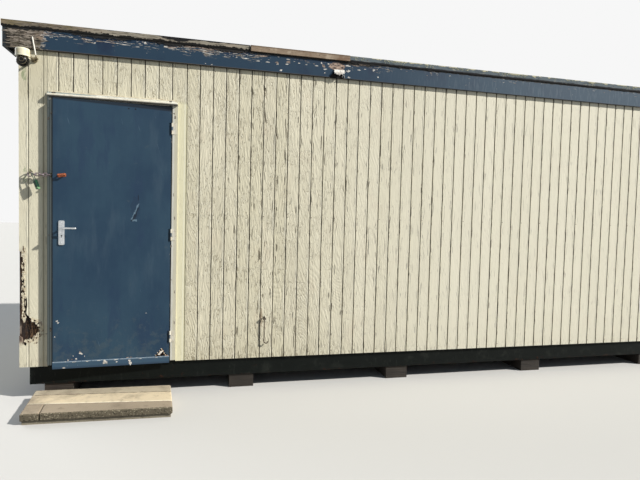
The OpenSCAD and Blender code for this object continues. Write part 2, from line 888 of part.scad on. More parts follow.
module camera_ball() {
    look = 8;
    sink = 4;
    color("#17191b") translate([camera_x, camera_y, cap_top - cap_h]) difference() {
        translate([0, 0, -ball_drop]) {
            sphere(ball_r);
            rotate([90, 0, look]) cylinder(r = barrel_r, h = ball_r);
        }
        translate([0, 0, ball_r]) cube(2 * ball_r, center = true);
        translate([0, 0, -ball_drop]) rotate([90, 0, look]) translate([0, 0, ball_r - sink])
            cylinder(r = lens_r, h = 2 * sink);
    }
}

// A round plate on the wall, a neck, an elbow and a short arm that meets the cap
module camera_bracket() {
    arm_r = 8;
    plate_r = 20;
    plate_t = 6;
    arm_z = cap_top - cap_h + arm_r + 6;
    neck_out = 0.5 * camera_out;
    toward_cap = atan2(camera_out - neck_out, arm_x - camera_x);
    aerial_x = arm_x + 20;
    aerial_z = arm_z + 12;
    aerial_out = fascia_t + aerial_r + 2;
    foot_r = aerial_r + 2;
    color("#ddd5bb") {
        translate([arm_x, -half_w, arm_z]) rotate([90, 0, 0]) {
            cylinder(r = plate_r, h = plate_t);
            cylinder(r = arm_r, h = neck_out);
        }
        translate([arm_x, -half_w - neck_out, arm_z]) sphere(arm_r + 1.5);
        difference() {
            translate([arm_x, -half_w - neck_out, arm_z]) rotate([0, 90, 180 + toward_cap])
                cylinder(r = arm_r, h = camera_out - neck_out);
            translate([camera_x, camera_y, cap_top - cap_h - over])
                cylinder(r = cap_r, h = cap_h + 2 * over);
        }
        translate([aerial_x, -half_w - aerial_out, aerial_z]) rotate([0, -10, 0])
            cylinder(r = aerial_r, h = aerial_l);
        translate([aerial_x, -half_w, aerial_z]) rotate([90, 0, 0])
            cylinder(r = foot_r, h = aerial_out + foot_r);
    }
}

// Doorstep

// The back left corner of the step is the origin, with y = 0 along its back
module on_step() {
    translate([-half_l + step_from_corner, -half_w - step_gap, 0]) rotate([0, 0, step_turn])
        children();
}

// How deep the joints between the three rows lie at the step's left and right ends
joint_left = [0, 0.225 * step_d, 0.59 * step_d, step_d];
joint_right = [0, 0.305 * step_d, 0.715 * step_d, step_d];
function joint_y(i, share) = -joint_left[i] * (1 - share) - joint_right[i] * share;
function step_point(i, share, dy = 0) =
    let (y = joint_y(i, share) + dy) [share * step_l - y * tan(step_skew), y];

// One stone of row i between two shares of the row's length, seen from above
module kerb_stone(i, from, to) {
    gap = i == 0 ? 0 : -kerb_gap;
    translate([0, 0, course_h]) linear_extrude(kerb_t) polygon([
        step_point(i, from, gap), step_point(i, to, gap),
        step_point(i + 1, to), step_point(i + 1, from)
    ]);
}

module doorstep_kerbs() {
    split = short_stone_l / step_l;
    split_gap = kerb_gap / step_l;
    color("#a89c86") on_step() {
        kerb_stone(0, 0, 1);
        kerb_stone(1, 0, 1);
        kerb_stone(2, 0, split);
        kerb_stone(2, split + split_gap, 1);
    }
}

module doorstep_course() {
    inset = course_inset / step_l;
    color("#8c8373") on_step() linear_extrude(course_h) polygon([
        step_point(0, inset, -course_inset), step_point(0, 1 - inset, -course_inset),
        step_point(3, 1 - inset, course_inset), step_point(3, inset, course_inset)
    ]);
}

ground_bearers();
base_beam_front();
base_beam_back();
base_beam_ends();
cross_members();
floor_deck();
corner_post();
front_wall_left();
front_wall_over_door();
front_wall_right();
back_wall();
left_wall();
right_wall();
front_cladding_left();
front_cladding_over_door();
front_cladding_right();
back_cladding();
left_cladding();
right_cladding();
ceiling_board();
roof_deck();
roof_felt();
fascia_front();
fascia_back();
fascia_ends();
edge_batten_left();
edge_batten_new();
edge_batten_right();
edge_battens_plain();
door_jambs();
door_head();
door_sill();
drip_strip();
door_leaf();
weather_bar();
hinges_frame_side();
hinges_leaf_side();
handle_plates();
lever_handle();
door_staple();
wall_eye();
lock_chain();
padlock();
wall_hook();
camera_bracket();
camera_cap();
camera_ball();
doorstep_kerbs();
doorstep_course();
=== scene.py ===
# %% [markdown]
# # A portable site cabin, dressed around its solid model
# The solid model gives every board, beam and hinge its place. This lesson loads it as a
# fixed frame, writes the weathered finishes as node trees, adds the small torn, rusty and
# crumbling pieces, and sets up a plain studio. All lengths are in metres.

# %% Load the frame
import json
import math
import random
import bmesh
import bpy
from mathutils import Matrix, Vector, noise


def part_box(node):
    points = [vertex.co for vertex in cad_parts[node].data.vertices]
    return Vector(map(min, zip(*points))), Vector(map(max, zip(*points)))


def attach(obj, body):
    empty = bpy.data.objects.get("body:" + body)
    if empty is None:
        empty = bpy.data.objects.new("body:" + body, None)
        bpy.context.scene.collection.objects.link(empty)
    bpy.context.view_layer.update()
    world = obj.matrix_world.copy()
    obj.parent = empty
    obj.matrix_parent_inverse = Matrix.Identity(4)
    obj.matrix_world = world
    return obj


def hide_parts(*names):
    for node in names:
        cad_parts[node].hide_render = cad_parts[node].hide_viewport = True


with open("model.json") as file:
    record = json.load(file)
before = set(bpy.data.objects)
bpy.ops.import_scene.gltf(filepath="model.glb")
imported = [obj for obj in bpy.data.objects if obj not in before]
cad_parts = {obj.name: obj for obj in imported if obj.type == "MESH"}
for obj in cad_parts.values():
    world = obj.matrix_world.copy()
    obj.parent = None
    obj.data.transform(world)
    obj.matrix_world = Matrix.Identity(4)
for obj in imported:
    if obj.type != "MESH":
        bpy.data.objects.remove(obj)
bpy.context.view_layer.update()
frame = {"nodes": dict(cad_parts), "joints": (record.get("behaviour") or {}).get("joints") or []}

nodes, scene = frame["nodes"], bpy.context.scene

# %% [markdown]
# ## Node trees as sums
# A finish is a small sum: so much paint, less where it is worn, darker in the grooves. The
# class below wraps one output of a node and overloads Python's operators, so such a sum can
# be written as it is thought. Each operator adds one Math node.


# %% A socket that can be added and multiplied
class Term:
    def __init__(self, look, socket):
        self.look = look
        self.socket = socket

    def _math(self, operation, a, b=None):
        inputs = {0: a} if b is None else {0: a, 1: b}
        return self.look.node("Math", {"operation": operation}, inputs)

    def __add__(self, other):
        return self._math("ADD", self, other)

    def __radd__(self, other):
        return self._math("ADD", other, self)

    def __sub__(self, other):
        return self._math("SUBTRACT", self, other)

    def __rsub__(self, other):
        return self._math("SUBTRACT", other, self)

    def __mul__(self, other):
        return self._math("MULTIPLY", self, other)

    def __rmul__(self, other):
        return self._math("MULTIPLY", other, self)

    def __truediv__(self, other):
        return self._math("DIVIDE", self, other)

    def __pow__(self, other):
        return self._math("POWER", self, other)

    def __abs__(self):
        return self._math("ABSOLUTE", self)

    def floor(self):
        return self._math("FLOOR", self)

    def sine(self):
        return self._math("SINE", self)

    def least(self, other):
        return self._math("MINIMUM", self, other)

    def most(self, other):
        return self._math("MAXIMUM", self, other)

    def clipped(self):
        return self.least(1.0).most(0.0)

    def step(self, low, high):
        """Rises smoothly from 0 at low to 1 at high. It falls where low is the larger."""
        down = low > high
        ends = {1: high, 2: low} if down else {1: low, 2: high}
        settings = {"interpolation_type": "SMOOTHSTEP"}
        rise = self.look.node("MapRange", settings, {0: self, **ends})
        return 1 - rise if down else rise


print("terms ready")

# %% [markdown]
# `NodeMaker` makes any node from its type, its settings and its inputs. The other methods are
# the few nodes that every finish needs, such as noise or a mix of two colours. Colours are
# written as the 0 to 255 numbers that a paint shop would measure and are turned into light
# values once, in Python.


# %% Nodes by name
def paint(red, green, blue):
    def light(c):
        c = c / 255
        return c / 12.92 if c <= 0.04045 else ((c + 0.055) / 1.055) ** 2.4

    return (light(red), light(green), light(blue), 1.0)


class NodeMaker:
    def node(self, kind, settings=None, inputs=None, out=0):
        made = self.tree.nodes.new("ShaderNode" + kind)
        for key, value in (settings or {}).items():
            setattr(made, key, value)
        for key, value in (inputs or {}).items():
            socket = made.inputs[key]
            if isinstance(value, Term):
                self.tree.links.new(value.socket, socket)
            else:
                socket.default_value = value
        return Term(self, made.outputs[out])

    def split(self, vector):
        made = self.tree.nodes.new("ShaderNodeSeparateXYZ")
        self.tree.links.new(vector.socket, made.inputs[0])
        return [Term(self, out) for out in made.outputs]

    def vector(self, x, y, z=0.0):
        return self.node("CombineXYZ", None, {0: x, 1: y, 2: z})

    def noise(self, x, y, z=0.0, scale=1.0, detail=2.0, rough=0.5):
        inputs = {"Vector": self.vector(x, y, z), "Scale": scale, "Detail": detail}
        inputs["Roughness"] = rough
        return self.node("TexNoise", {"noise_dimensions": "3D"}, inputs)

    def cells(self, x, y, z=0.0, scale=1.0, out="Distance"):
        inputs = {"Vector": self.vector(x, y, z), "Scale": scale}
        return self.node("TexVoronoi", None, inputs, out)

    def chance(self, value):
        """A fixed random number for each value, such as one for each board."""
        return self.node("TexWhiteNoise", {"noise_dimensions": "1D"}, {"W": value})

    def mix(self, a, b, share):
        settings = {"data_type": "RGBA", "blend_type": "MIX"}
        return self.node("Mix", settings, {0: share, 6: a, 7: b}, 2)


print("node maker ready")

# %% [markdown]
# A `Look` is one material under construction. Its coats, bands, blots and veins are written
# with the nodes above, and `finish` joins everything to a shader and gives the material.


# %% One material under construction
class Look(NodeMaker):
    made = {}

    def __init__(self, name):
        self.material = bpy.data.materials.new(name)
        self.material.use_nodes = True
        self.tree = self.material.node_tree
        self.tree.nodes.clear()
        Look.made[name] = self.material
        place = self.tree.nodes.new("ShaderNodeTexCoord").outputs["Object"]
        self.place = Term(self, place)
        self.x, self.y, self.z = self.split(self.place)

    def veins(self, value, width):
        """Thin wavering lines, where a noise passes its middle value."""
        return abs(value - 0.5).step(width, 0.0)

    def layers(self, ground, *coats):
        """Lays (colour, share) coats over a ground colour, one after the other."""
        for colour, share in coats:
            ground = self.mix(ground, colour, share)
        return ground

    def band(self, value, low, high, soft=0.01):
        """1 between low and high, falling off softly outside."""
        return value.step(low - soft, low) * value.step(high + soft, high)

    def blot(self, u, v, at, size, ragged=0.35, grain=60.0):
        """1 inside an ellipse with a torn edge, 0 outside."""
        du = (u - at[0]) / size[0]
        dv = (v - at[1]) / size[1]
        wander = self.noise(u, v, 0.0, grain, 3.0, 0.6) - 0.5
        far = (du * du + dv * dv) ** 0.5 + wander * (ragged * 4)
        return far.step(1.1, 0.9)

    def finish(self, colour, rough=0.6, height=None, reach=0.001, metal=0.0, **fixed):
        shader = self.tree.nodes.new("ShaderNodeBsdfPrincipled")
        inputs = {"Base Color": colour, "Roughness": rough, "Metallic": metal}
        inputs.update({key.replace("_", " "): value for key, value in fixed.items()})
        if height is not None:
            bump = {"Strength": 1.0, "Distance": reach, "Height": height}
            inputs["Normal"] = self.node("Bump", None, bump)
        for key, value in inputs.items():
            if isinstance(value, Term):
                self.tree.links.new(value.socket, shader.inputs[key])
            else:
                shader.inputs[key].default_value = value
        end = self.tree.nodes.new("ShaderNodeOutputMaterial")
        self.tree.links.new(shader.outputs[0], end.inputs[0])
        return self.material


print("looks ready")

# %% [markdown]
# Two short helpers put materials on the solids and new objects into the scene.


# %% Materials and objects
def wear(node_names, material):
    """Gives one material to several nodes, whose names are split by spaces."""
    for name in node_names.split():
        slots = nodes[name].data.materials
        slots.clear()
        slots.append(material)


def put(name, data, material=None):
    """Adds a camera, a lamp or a mesh to the scene as a new object."""
    if material is not None:
        data.materials.append(material)
    added = bpy.data.objects.new(name, data)
    scene.collection.objects.link(added)
    return added


print("helpers ready")

# %% [markdown]
# ## The studio
# A colour should render about as it is written. A lamp from the right, a little above the
# height of the roof, grazes the long wall, because flaking paint and raised grain show best in
# light from the side. A wide, weak lamp from behind on the left lights the other two walls,
# and an even, slightly cool world fills the shade. The floor is pale where the camera sees it,
# and it throws little light back, so that the shade under the cabin stays dark.
#
# The camera stands where the photographer stood: its place and turn were solved from the
# wall's upright grooves and the door's edges. The focal length is in pixels of a picture that
# is 640 pixels wide.

# %% Camera
CAMERA_AT = (-1.7041, -5.2071, 1.4258)
CAMERA_YAW, CAMERA_PITCH, CAMERA_ROLL = 0.2348, -0.0448, 0.0251
FOCAL_PIXELS, PICTURE_PIXELS, SENSOR = 481.0, 640.0, 36.0

camera = put("camera", bpy.data.cameras.new("camera"))
camera.data.sensor_width = SENSOR
camera.data.lens = SENSOR * FOCAL_PIXELS / PICTURE_PIXELS
camera.data.clip_end = 200.0
turn = Matrix.Rotation(-CAMERA_YAW, 4, "Z") @ Matrix.Rotation(math.pi / 2 + CAMERA_PITCH, 4, "X")
camera.matrix_world = Matrix.Translation(CAMERA_AT) @ turn @ Matrix.Rotation(CAMERA_ROLL, 4, "Z")
scene.camera = camera
print("camera ready, lens", round(camera.data.lens, 2), "mm")

# %% [markdown]
# Each lamp is a distant sun, so its place doesn't matter, only where it lies and how wide it
# looks: a small one throws a crisp shadow, a wide one hardly any. The world gives the shade
# its colour, and shows a pale backdrop to the camera and to whatever shines. A lamp is told
# by its name, the way towards it, its strength, its width in degrees and its tint.

# %% Lamps and world
LAMPS = (("key_lamp", (2.0, -1.0, 1.56), 5.15, 1.5, (1.0, 0.968, 0.915)),
         ("fill_lamp", (-1.5, 1.3, 0.9), 1.5, 40.0, (1.0, 1.0, 1.0)))
for name, towards, strength, spread, tint in LAMPS:
    lamp = put(name, bpy.data.lights.new(name, "SUN"))
    lamp.data.energy = strength
    lamp.data.angle = math.radians(spread)
    lamp.data.color = tint
    lamp.rotation_euler = Vector(towards).to_track_quat("Z", "Y").to_euler()

WORLD_LIGHT, WORLD_SEEN = (0.195, 0.232, 0.272, 1.0), (0.93, 0.93, 0.93, 1.0)
world = bpy.data.worlds.new("studio")
scene.world = world
world.use_nodes = True


def seen_or_not(tree, hidden, shown):
    """One value for light that bounces and one for what the camera or a shiny piece sees."""
    path = tree.nodes.new("ShaderNodeLightPath")
    either = tree.nodes.new("ShaderNodeMath")
    either.operation = "MAXIMUM"
    tree.links.new(path.outputs["Is Camera Ray"], either.inputs[0])
    tree.links.new(path.outputs["Is Glossy Ray"], either.inputs[1])
    mix = tree.nodes.new("ShaderNodeMix")
    mix.data_type = "RGBA"
    mix.inputs[6].default_value = hidden
    mix.inputs[7].default_value = shown
    tree.links.new(either.outputs[0], mix.inputs[0])
    return mix.outputs[2]


background = world.node_tree.nodes["Background"]
world.node_tree.links.new(
    seen_or_not(world.node_tree, WORLD_LIGHT, WORLD_SEEN), background.inputs["Color"])
scene.view_settings.view_transform = "Standard"
print(len(LAMPS), "lamps and the world ready")

# %% [markdown]
# The floor is one large square.

# %% Floor
FLOOR_REACH = 60.0
corners = [(FLOOR_REACH * x, FLOOR_REACH * y, 0) for x, y in ((-1, -1), (1, -1), (1, 1), (-1, 1))]
floor_mesh = bpy.data.meshes.new("studio_floor")
floor_mesh.from_pydata(corners, [], [(0, 1, 2, 3)])
look = Look("studio_floor")
tone = Term(look, seen_or_not(look.tree, paint(120, 119, 117), paint(202, 201, 198)))
floor = put("studio_floor", floor_mesh, look.finish(tone, 0.95))
print("studio ready, floor", 2 * FLOOR_REACH, "m wide")

# %% [markdown]
# ## Painted, grooved plywood
# The walls are sheets of plywood with a groove every 101.6 mm, painted cream and left to the
# weather. The grooves are in the solid model. What it lacks is the dirt that gathers in them, the
# raised edge beside each with a painted highlight, the short upright cracks of the veneer with the
# shadow in them painted dark, the arched grain of a peeled log and a tone that changes from board
# to board. All of it is measured along the wall, so one recipe serves all four sides.
#
# The marks come first, each as a share between 0 and 1. `board` counts the strips between
# grooves, `across` is the distance from the last groove, `luck` is one random number for each
# board, and `grain_at` is the place along the wall with the grain's slow sway added.


# %% Marks of the cladding
PITCH, HALF_L, HALF_W = 0.1016, 3.048, 1.219
GROOVE_IN, SHEET_SHIFT = 0.064, 0.008    # first groove to corner, and a sheet laid askew
FIRST_GROOVE = HALF_L - GROOVE_IN
CREAM, CREAM_GREY = paint(238, 231, 206), paint(224, 217, 192)
DARK_WOOD = paint(58, 42, 32)


def clefts(look, u, z, board, across, luck, grain_at):
    """Short upright cracks of the veneer, closest together beside the grooves. They are painted
    dark, for the cracks' own dark and the shadow in them.
    """
    crowd = look.noise(u, z * 0.5, 3.0, 2.3, 3.0) + (luck - 0.5) * 0.12
    short = look.noise(u, z * 0.24, 21.0, 40.0, 2.0, 0.5) + (crowd - 0.5) * 0.28
    cleft = look.noise(grain_at, z * 0.050, board * 1.7, 112.0, 1.0, 0.5)
    beside = across.least(PITCH - across).step(0.046, 0.014) * 0.10
    return (cleft + beside + (luck - 0.5) * 0.04).step(0.690, 0.720) * short.step(0.47, 0.54)


def hairlines(look, u, z, board, grain_at):
    """Leaning hairlines, the painted highlight beside each, and the noise that they follow."""
    leaning = grain_at + z * (look.chance(board + 7.5) * 0.34 - 0.06)
    stroke = look.noise(leaning, z * 0.13, board * 2.0, 70.0, 2.0, 0.5)
    lined = look.noise(u, z * 0.5, 12.0, 9.0, 2.0).step(0.36, 0.56)
    return look.veins(stroke, 0.032) * lined, look.veins(stroke - 0.045, 0.032) * lined, stroke


def groove_dirt(look, z, board, across, wide):
    """The wavering line of dirt at each groove, widened by wide with painted shade, its strength,
    and the raised edge beside it with its painted highlight.
    """
    wander = (look.noise(board * 3.1, z, 0.0, 14.0, 3.0) - 0.5) * 0.005
    line = (across.least(PITCH - across) + wander - wide).step(0.0048, 0.0028)
    strength = look.noise(board * 7.7, z, 4.0, 1.6, 3.0).step(0.26, 0.52)
    # The raised edge beside each groove also gets a painted highlight.
    lit_ridge = look.band(across + wander, PITCH - 0.0125, PITCH - 0.0062, 0.0022)
    return line, strength, lit_ridge * look.noise(board * 5.3, z, 7.0, 2.4, 2.0).step(0.40, 0.62)


print("grooves", PITCH, "m apart, the first", round(FIRST_GROOVE, 3), "m from the middle")

# %% [markdown]
# The recipe lays these marks over a cream that is stained and splashed, coat by coat, with the
# dirt of the grooves next and a band of painted shade just under the fascia last. `extra` is what
# one sheet has and the others haven't.


# %% Cladding
def cladding(name, where, extra=None, worn=None, spread=None):
    """where gives the place along the wall and the depth behind its face. worn gives the share of
    short cracks and of fine hairlines, and spread how far the grooves' dark line reaches past the
    dirt, as painted shade of the grooves' shaded sides."""
    look = Look(name)
    u, depth = where(look)
    z = look.z
    ticks, hairs = worn(look) if worn else (0.65, 0.55)
    wide = spread(look) if spread else 0.0
    board = (u / PITCH).floor()
    luck = look.chance(board + 0.5)
    across = u - board * PITCH
    grain_at = u + (look.noise(u, z * 0.7, 1.0, 5.0, 2.0) - 0.5) * 0.07
    tick = clefts(look, u, z, board, across, luck, grain_at)
    hair, lit, stroke = hairlines(look, u, z, board, grain_at)
    line, strength, lit_ridge = groove_dirt(look, z, board, across, wide)
    crack = look.noise(grain_at, z * 0.095, board, 84.0, 2.0, 0.6)
    fibre = look.noise(grain_at, z * 0.05, luck, 330.0, 2.0)
    log = look.noise(u, z * 0.34, board, 2.6, 1.0, 0.35)
    rings = (log * 330.0 + stroke * 3.0).sine()
    ringed = look.noise(u, z * 0.5, 8.0, 2.2, 2.0).step(0.50, 0.60) * hairs
    stain = look.noise(u, z * 0.16, 6.0, 4.0, 4.0, 0.6)
    foot = z.step(0.345, 0.262)
    fringe = look.noise(u, z * 0.22, 14.0, 95.0, 2.0, 0.6).step(0.50, 0.62) * foot
    splash = z.step(0.62, 0.27) * look.noise(u, z, 2.0, 9.0, 3.0)
    colour = look.layers(
        look.mix(CREAM, CREAM_GREY, stain.step(0.32, 0.70)),
        (paint(224, 208, 182), look.noise(u, z * 0.6, 1.0, 5.0, 3.0).step(0.56, 0.74) * 0.35),
        (paint(194, 186, 158), splash * 0.55),
        (paint(220, 213, 184), (luck - 0.4).clipped() * 0.7),
        (paint(176, 165, 136), rings.step(0.1, 0.95) * ringed * 0.22),
        (paint(130, 118, 90), hair * hairs * 0.65),
        (paint(250, 246, 226), lit * hairs * 0.55),
        (paint(70, 60, 42), tick * ticks * 0.90),
        (paint(112, 98, 70), fringe * 0.60),
        (paint(246, 241, 220), lit_ridge * 0.75),
    )
    groove = look.mix(paint(122, 112, 90), paint(42, 36, 28), strength)
    deep = depth.step(0.0006, 0.0025)
    colour = look.mix(colour, groove, (line * 0.92).most(deep))
    # Painted shade: a dark band along the top of the wall, just under the fascia.
    colour = look.mix(colour, paint(46, 43, 36), z.step(2.598, 2.608) * 0.6)
    height = (fibre * 0.25 + (crack * 1.4 + stroke * 2.4 - hair * 0.9) * hairs
              - tick * 0.9 * ticks - rings * ringed * 0.2 + lit_ridge * 0.8)
    if extra:
        colour, height = extra(look, u, z, colour, height)
    return look.finish(colour, 0.66 + tick * 0.2, height, 0.0017,
                       Specular_IOR_Level=0.3)


print("the cladding's recipe is ready")

# %% [markdown]
# The damage sits on top of that recipe: rot at the corner, green smears, the smooth strip
# beside the door post, and less weather towards the right.


# %% Where the cladding differs
def left_extra(look, u, z, colour, height):
    x = look.x
    corner = x + HALF_L
    frayed = look.noise(u, z * 0.4, 5.0, 42.0, 4.0, 0.7)
    rotten = (corner - frayed * 0.05).step(0.012, 0.0) * z.step(0.40, 0.46) * z.step(1.17, 1.05)
    edge = look.blot(x, z, (-3.0, 0.53), (0.115, 0.105), 0.30, 34.0)
    brown = look.mix(paint(146, 128, 114), DARK_WOOD,
                     look.noise(u, z * 0.1, 1.0, 90.0, 3.0).step(0.42, 0.62))
    green = look.blot(x, z, (-3.012, 2.43), (0.016, 0.050), 0.5, 50.0)
    green = green.most(look.blot(x, z, (-3.008, 1.69), (0.014, 0.055), 0.6, 50.0)) * 0.6
    colour = look.layers(
        colour,
        (paint(248, 243, 220), x.step(-2.87, -2.90) * z.step(2.30, 2.20) * 0.35),
        (paint(232, 226, 204), z.step(0.502, 0.498) * x.step(-2.93, -2.92) * 0.5),
        (paint(122, 146, 98), green * frayed.step(0.40, 0.58)),
        (paint(206, 200, 176), look.band(x, -2.894, -2.870, 0.002) * 0.7),
        (paint(56, 50, 40), look.band(x, -2.8600, -2.8560, 0.001) * 0.6),
        (paint(214, 196, 160), edge * 0.5),
        (brown, rotten.most(edge * frayed.step(0.46, 0.60))),
    )
    return colour, height - rotten * 1.5


def line_of(u, reach):
    """1 in the grooves, and 0 further from them than reach."""
    across = u - (u / PITCH).floor() * PITCH
    return across.least(PITCH - across).step(reach, reach * 0.7)


def right_extra(look, u, z, colour, height):
    x = look.x
    fresh = x.step(-1.838, -1.868) * z.step(2.33, 2.29)
    pale = x.step(-1.5, 0.9)
    smear = look.blot(x, z, (-1.238, 0.585), (0.010, 0.075), 0.3, 40.0)
    colour = look.layers(
        colour,
        (paint(253, 248, 228), pale * 0.62 * (1 - line_of(u, 0.009))),
        (paint(150, 120, 86), smear * 0.45),
        (paint(243, 238, 202), fresh * 0.70),
        (paint(250, 247, 222), look.band(x, -1.875, -1.868, 0.002) * z.step(2.33, 2.29) * 0.8),
    )
    return colour, height * (1 - fresh * 0.8)


print("two sheets have marks of their own")

# %% [markdown]
# The front is three sheets. The one on the right is laid a little askew, and its cracks and
# hairlines thin out towards the right. The end sheets show their rotten edge at the front.


# %% Cladding on the walls
def along_front(k, shift=0.0):
    return k.x + (FIRST_GROOVE - shift), k.y + HALF_W


wear("front_cladding_left", cladding(
    "cladding_left_of_door", along_front, left_extra, lambda k: (0.3, 0.3)))
wear("front_cladding_over_door", cladding(
    "cladding_over_door", along_front, None, lambda k: (0.3, 0.9)))
# On the right sheet the grooves' dark line widens towards the right: painted shade of the grooves'
# shaded sides.
wear("front_cladding_right", cladding(
    "cladding_right_of_door", lambda k: along_front(k, SHEET_SHIFT), right_extra,
    lambda k: (k.x.step(-1.9, -1.2) * 0.55 + 0.4 - k.x.step(-0.2, 1.4) * 0.25,
               k.x.step(0.4, -1.3) * 0.75 + 0.30),
    lambda k: k.x.step(-1.0, 2.6) * 0.0010))
wear("back_cladding", cladding("cladding_back", lambda k: (FIRST_GROOVE - k.x, HALF_W - k.y)))


def rotten_corner(look, u, z, colour, height):
    """The end sheet's own edge, which shows at the front where the corner has rotted."""
    frayed = look.noise(u, z * 0.4, 5.0, 42.0, 4.0, 0.7)
    rotten = (look.y + HALF_W - 0.004 - frayed * 0.03).step(0.012, 0.0) * look.x.step(-3.0, -3.03)
    rotten = rotten * z.step(0.40, 0.46) * z.step(1.19, 1.10)
    fibre = look.noise(u, z * 0.1, 1.0, 90.0).step(0.40, 0.55)
    bark = look.mix(paint(134, 118, 104), DARK_WOOD, fibre)
    return look.mix(colour, bark, rotten), height - rotten


wear("left_cladding right_cladding", cladding(
    "cladding_ends", lambda k: (HALF_W - GROOVE_IN - k.y, HALF_L - abs(k.x)), rotten_corner))
print("cladding ready,", len(Look.made), "finishes so far")

# %% [markdown]
# ## Slate blue boards under the roof
# The fascia was painted slate blue. Its left end has lost its paint and split into grey
# layers, the paint has peeled in long streaks under the roof's edge, and towards the right
# it has faded. Position along the board, x, decides which of these shows.
#
# `front_only` holds what the board at the back hasn't got: the bare end with a pale rim of paint,
# its charred tip, a dark line under the battens for the gaps there and their painted shade, and
# the wood that shows in the burst.


# %% Bare wood and the front board's damage
SLATE, SLATE_DARK, SLATE_FADED = paint(37, 60, 80), paint(28, 45, 68), paint(78, 100, 116)


def grey_wood(look, u, v, seed=0.0):
    """Weathered timber with its grain along u, as a colour and a height."""
    grain = look.noise(u * 0.05, v, seed, 260.0, 4.0, 0.65)
    split = look.noise(u * 0.12, v, seed + 3.0, 70.0, 3.0, 0.6)
    tone = look.noise(u * 0.5, v, seed + 7.0, 6.0, 3.0)
    colour = look.layers(
        look.mix(paint(152, 141, 125), paint(88, 79, 70), grain.step(0.38, 0.62)),
        (paint(176, 152, 132), tone.step(0.5, 0.68) * 0.6),
        (paint(28, 25, 24), split.step(0.565, 0.63)),
    )
    return colour, grain * 0.6 - split.step(0.56, 0.66) * 1.6


def front_only(look, colour, height, wood, wood_height, streak):
    x, z = look.x, look.z
    torn = look.noise(x * 1.4, z * 2.2, 3.0, 13.0, 4.0, 0.7)
    bare = (x + (torn - 0.5) * 0.22).step(-2.885, -2.905)
    rim = (x + (torn - 0.5) * 0.22).step(-2.865, -2.88) * (1 - bare)
    olive = look.noise(x * 0.3, z, 17.0, 38.0, 2.0).step(0.5, 0.6)
    charred = (x + (torn - 0.5) * 0.03).step(-3.090, -3.098)
    # Painted shade: near black along the top of the board under the battens, on its left part.
    gap_and_shade = (z + (torn - 0.5) * 0.03).step(2.738, 2.746) * x.step(-2.2, -2.0)
    hole = (z + (torn - 0.5) * 0.06).step(2.718, 2.732) * look.band(x, -0.60, -0.36, 0.05)
    notch = look.blot(x, z, (-0.648, 2.704), (0.066, 0.032), 0.3, 34.0)
    pink = look.mix(paint(204, 176, 156), paint(56, 42, 38),
                    look.noise(x * 0.25, z, 1.0, 110.0, 3.0, 0.6).step(0.48, 0.56))
    colour = look.layers(
        colour,
        (paint(194, 186, 176), rim * streak.step(0.4, 0.5) * 0.8),
        (pink, notch),
        (wood, bare),
        (paint(92, 92, 62), bare * olive * 0.5),
        (paint(22, 21, 20), charred.most(gap_and_shade.most(hole))),
    )
    return colour, height * (1 - bare) + wood_height * bare * 2.0


print("bare wood ready")

# %% [markdown]
# The paint peels where a lengthwise noise is high, which the height on the board, a slow
# noise and the worst stretches, `zone`, all help along. A thin white line of undercoat rims
# each peeled place.


# %% Fascias
def fascia(name, front=True):
    look = Look(name)
    x, z = look.x, look.z
    wood, wood_height = grey_wood(look, x, z)
    cloud = look.noise(x, z * 0.6, 0.0, 3.4, 4.0, 0.6)
    high = z.step(2.655, 2.752)
    if front:
        faded = x.step(-0.7, 1.2) * (0.55 + cloud * 0.5)
        zone = (x.step(-2.35, -2.85) * 0.6).most(look.band(x, -2.62, -2.05, 0.15) * 0.55)
        zone = zone.most(look.band(x, -1.86, -1.30, 0.12))
        zone = zone.most(look.band(x, -0.5, -0.2, 0.15) * 0.5)
    else:
        faded = cloud * 0.7
        zone = look.noise(x, z * 0.3, 9.0, 1.1, 3.0).step(0.48, 0.62)
    streak = look.noise(x * 0.12, z, 5.0, 105.0, 3.0, 0.62)
    where = look.noise(x, z * 0.3, 9.0, 6.0, 3.0)
    reach = streak + (high - 0.5) * 0.10 + (where - 0.5) * 0.30 + zone * 0.13
    peeled = reach.step(0.72, 0.75) * high.step(0.05, 0.35)
    white = reach.step(0.695, 0.72) * (1 - peeled) * high.step(0.0, 0.25)
    runs = look.noise(x, z * 0.16, 2.0, 60.0, 3.0).step(0.5, 0.68)
    # Painted shade: a darker band along the top of the board, under the battens.
    damp = look.band(z, 2.735, 2.760, 0.03) * cloud.step(0.3, 0.6)
    flecks = look.cells(x * 0.45, z, 0.0, 60.0).step(0.14, 0.08)
    flecks = flecks * look.noise(x, z, 7.0, 24.0, 2.0).step(0.62, 0.68)
    colour = look.layers(
        look.mix(SLATE, SLATE_DARK, cloud.step(0.50, 0.66)),
        (SLATE_DARK, damp * 0.7),
        (SLATE_FADED, faded * 0.54),
        (paint(124, 136, 146), runs * faded * 0.24),
        (paint(196, 192, 182), flecks * 0.7),
        (paint(206, 198, 188), white * 0.62),
        (wood, peeled),
        (paint(60, 54, 50), peeled * streak.step(0.66, 0.58) * 0.6),
    )
    height = cloud * 0.4 - peeled + white * 0.4 + wood_height * peeled
    if front:
        colour, height = front_only(look, colour, height, wood, wood_height, streak)
    # The lowest strip of the face goes from tan to dark towards the right; the underside is
    # painted near black, as shade.
    edge, under = z.step(2.6140, 2.6120), z.step(2.6112, 2.6104)
    shade = look.mix(paint(132, 116, 92), paint(62, 58, 50), x.step(-1.6, 0.6))
    colour = look.layers(colour, (shade, edge * 0.55), (paint(28, 27, 24), under * 0.9))
    return look.finish(colour, 0.55 + peeled * 0.3, height, 0.0016, Specular_IOR_Level=0.25)


wear("fascia_front", fascia("fascia_paint_front"))
wear("fascia_back", fascia("fascia_paint_back", False))
print("front and back boards ready")

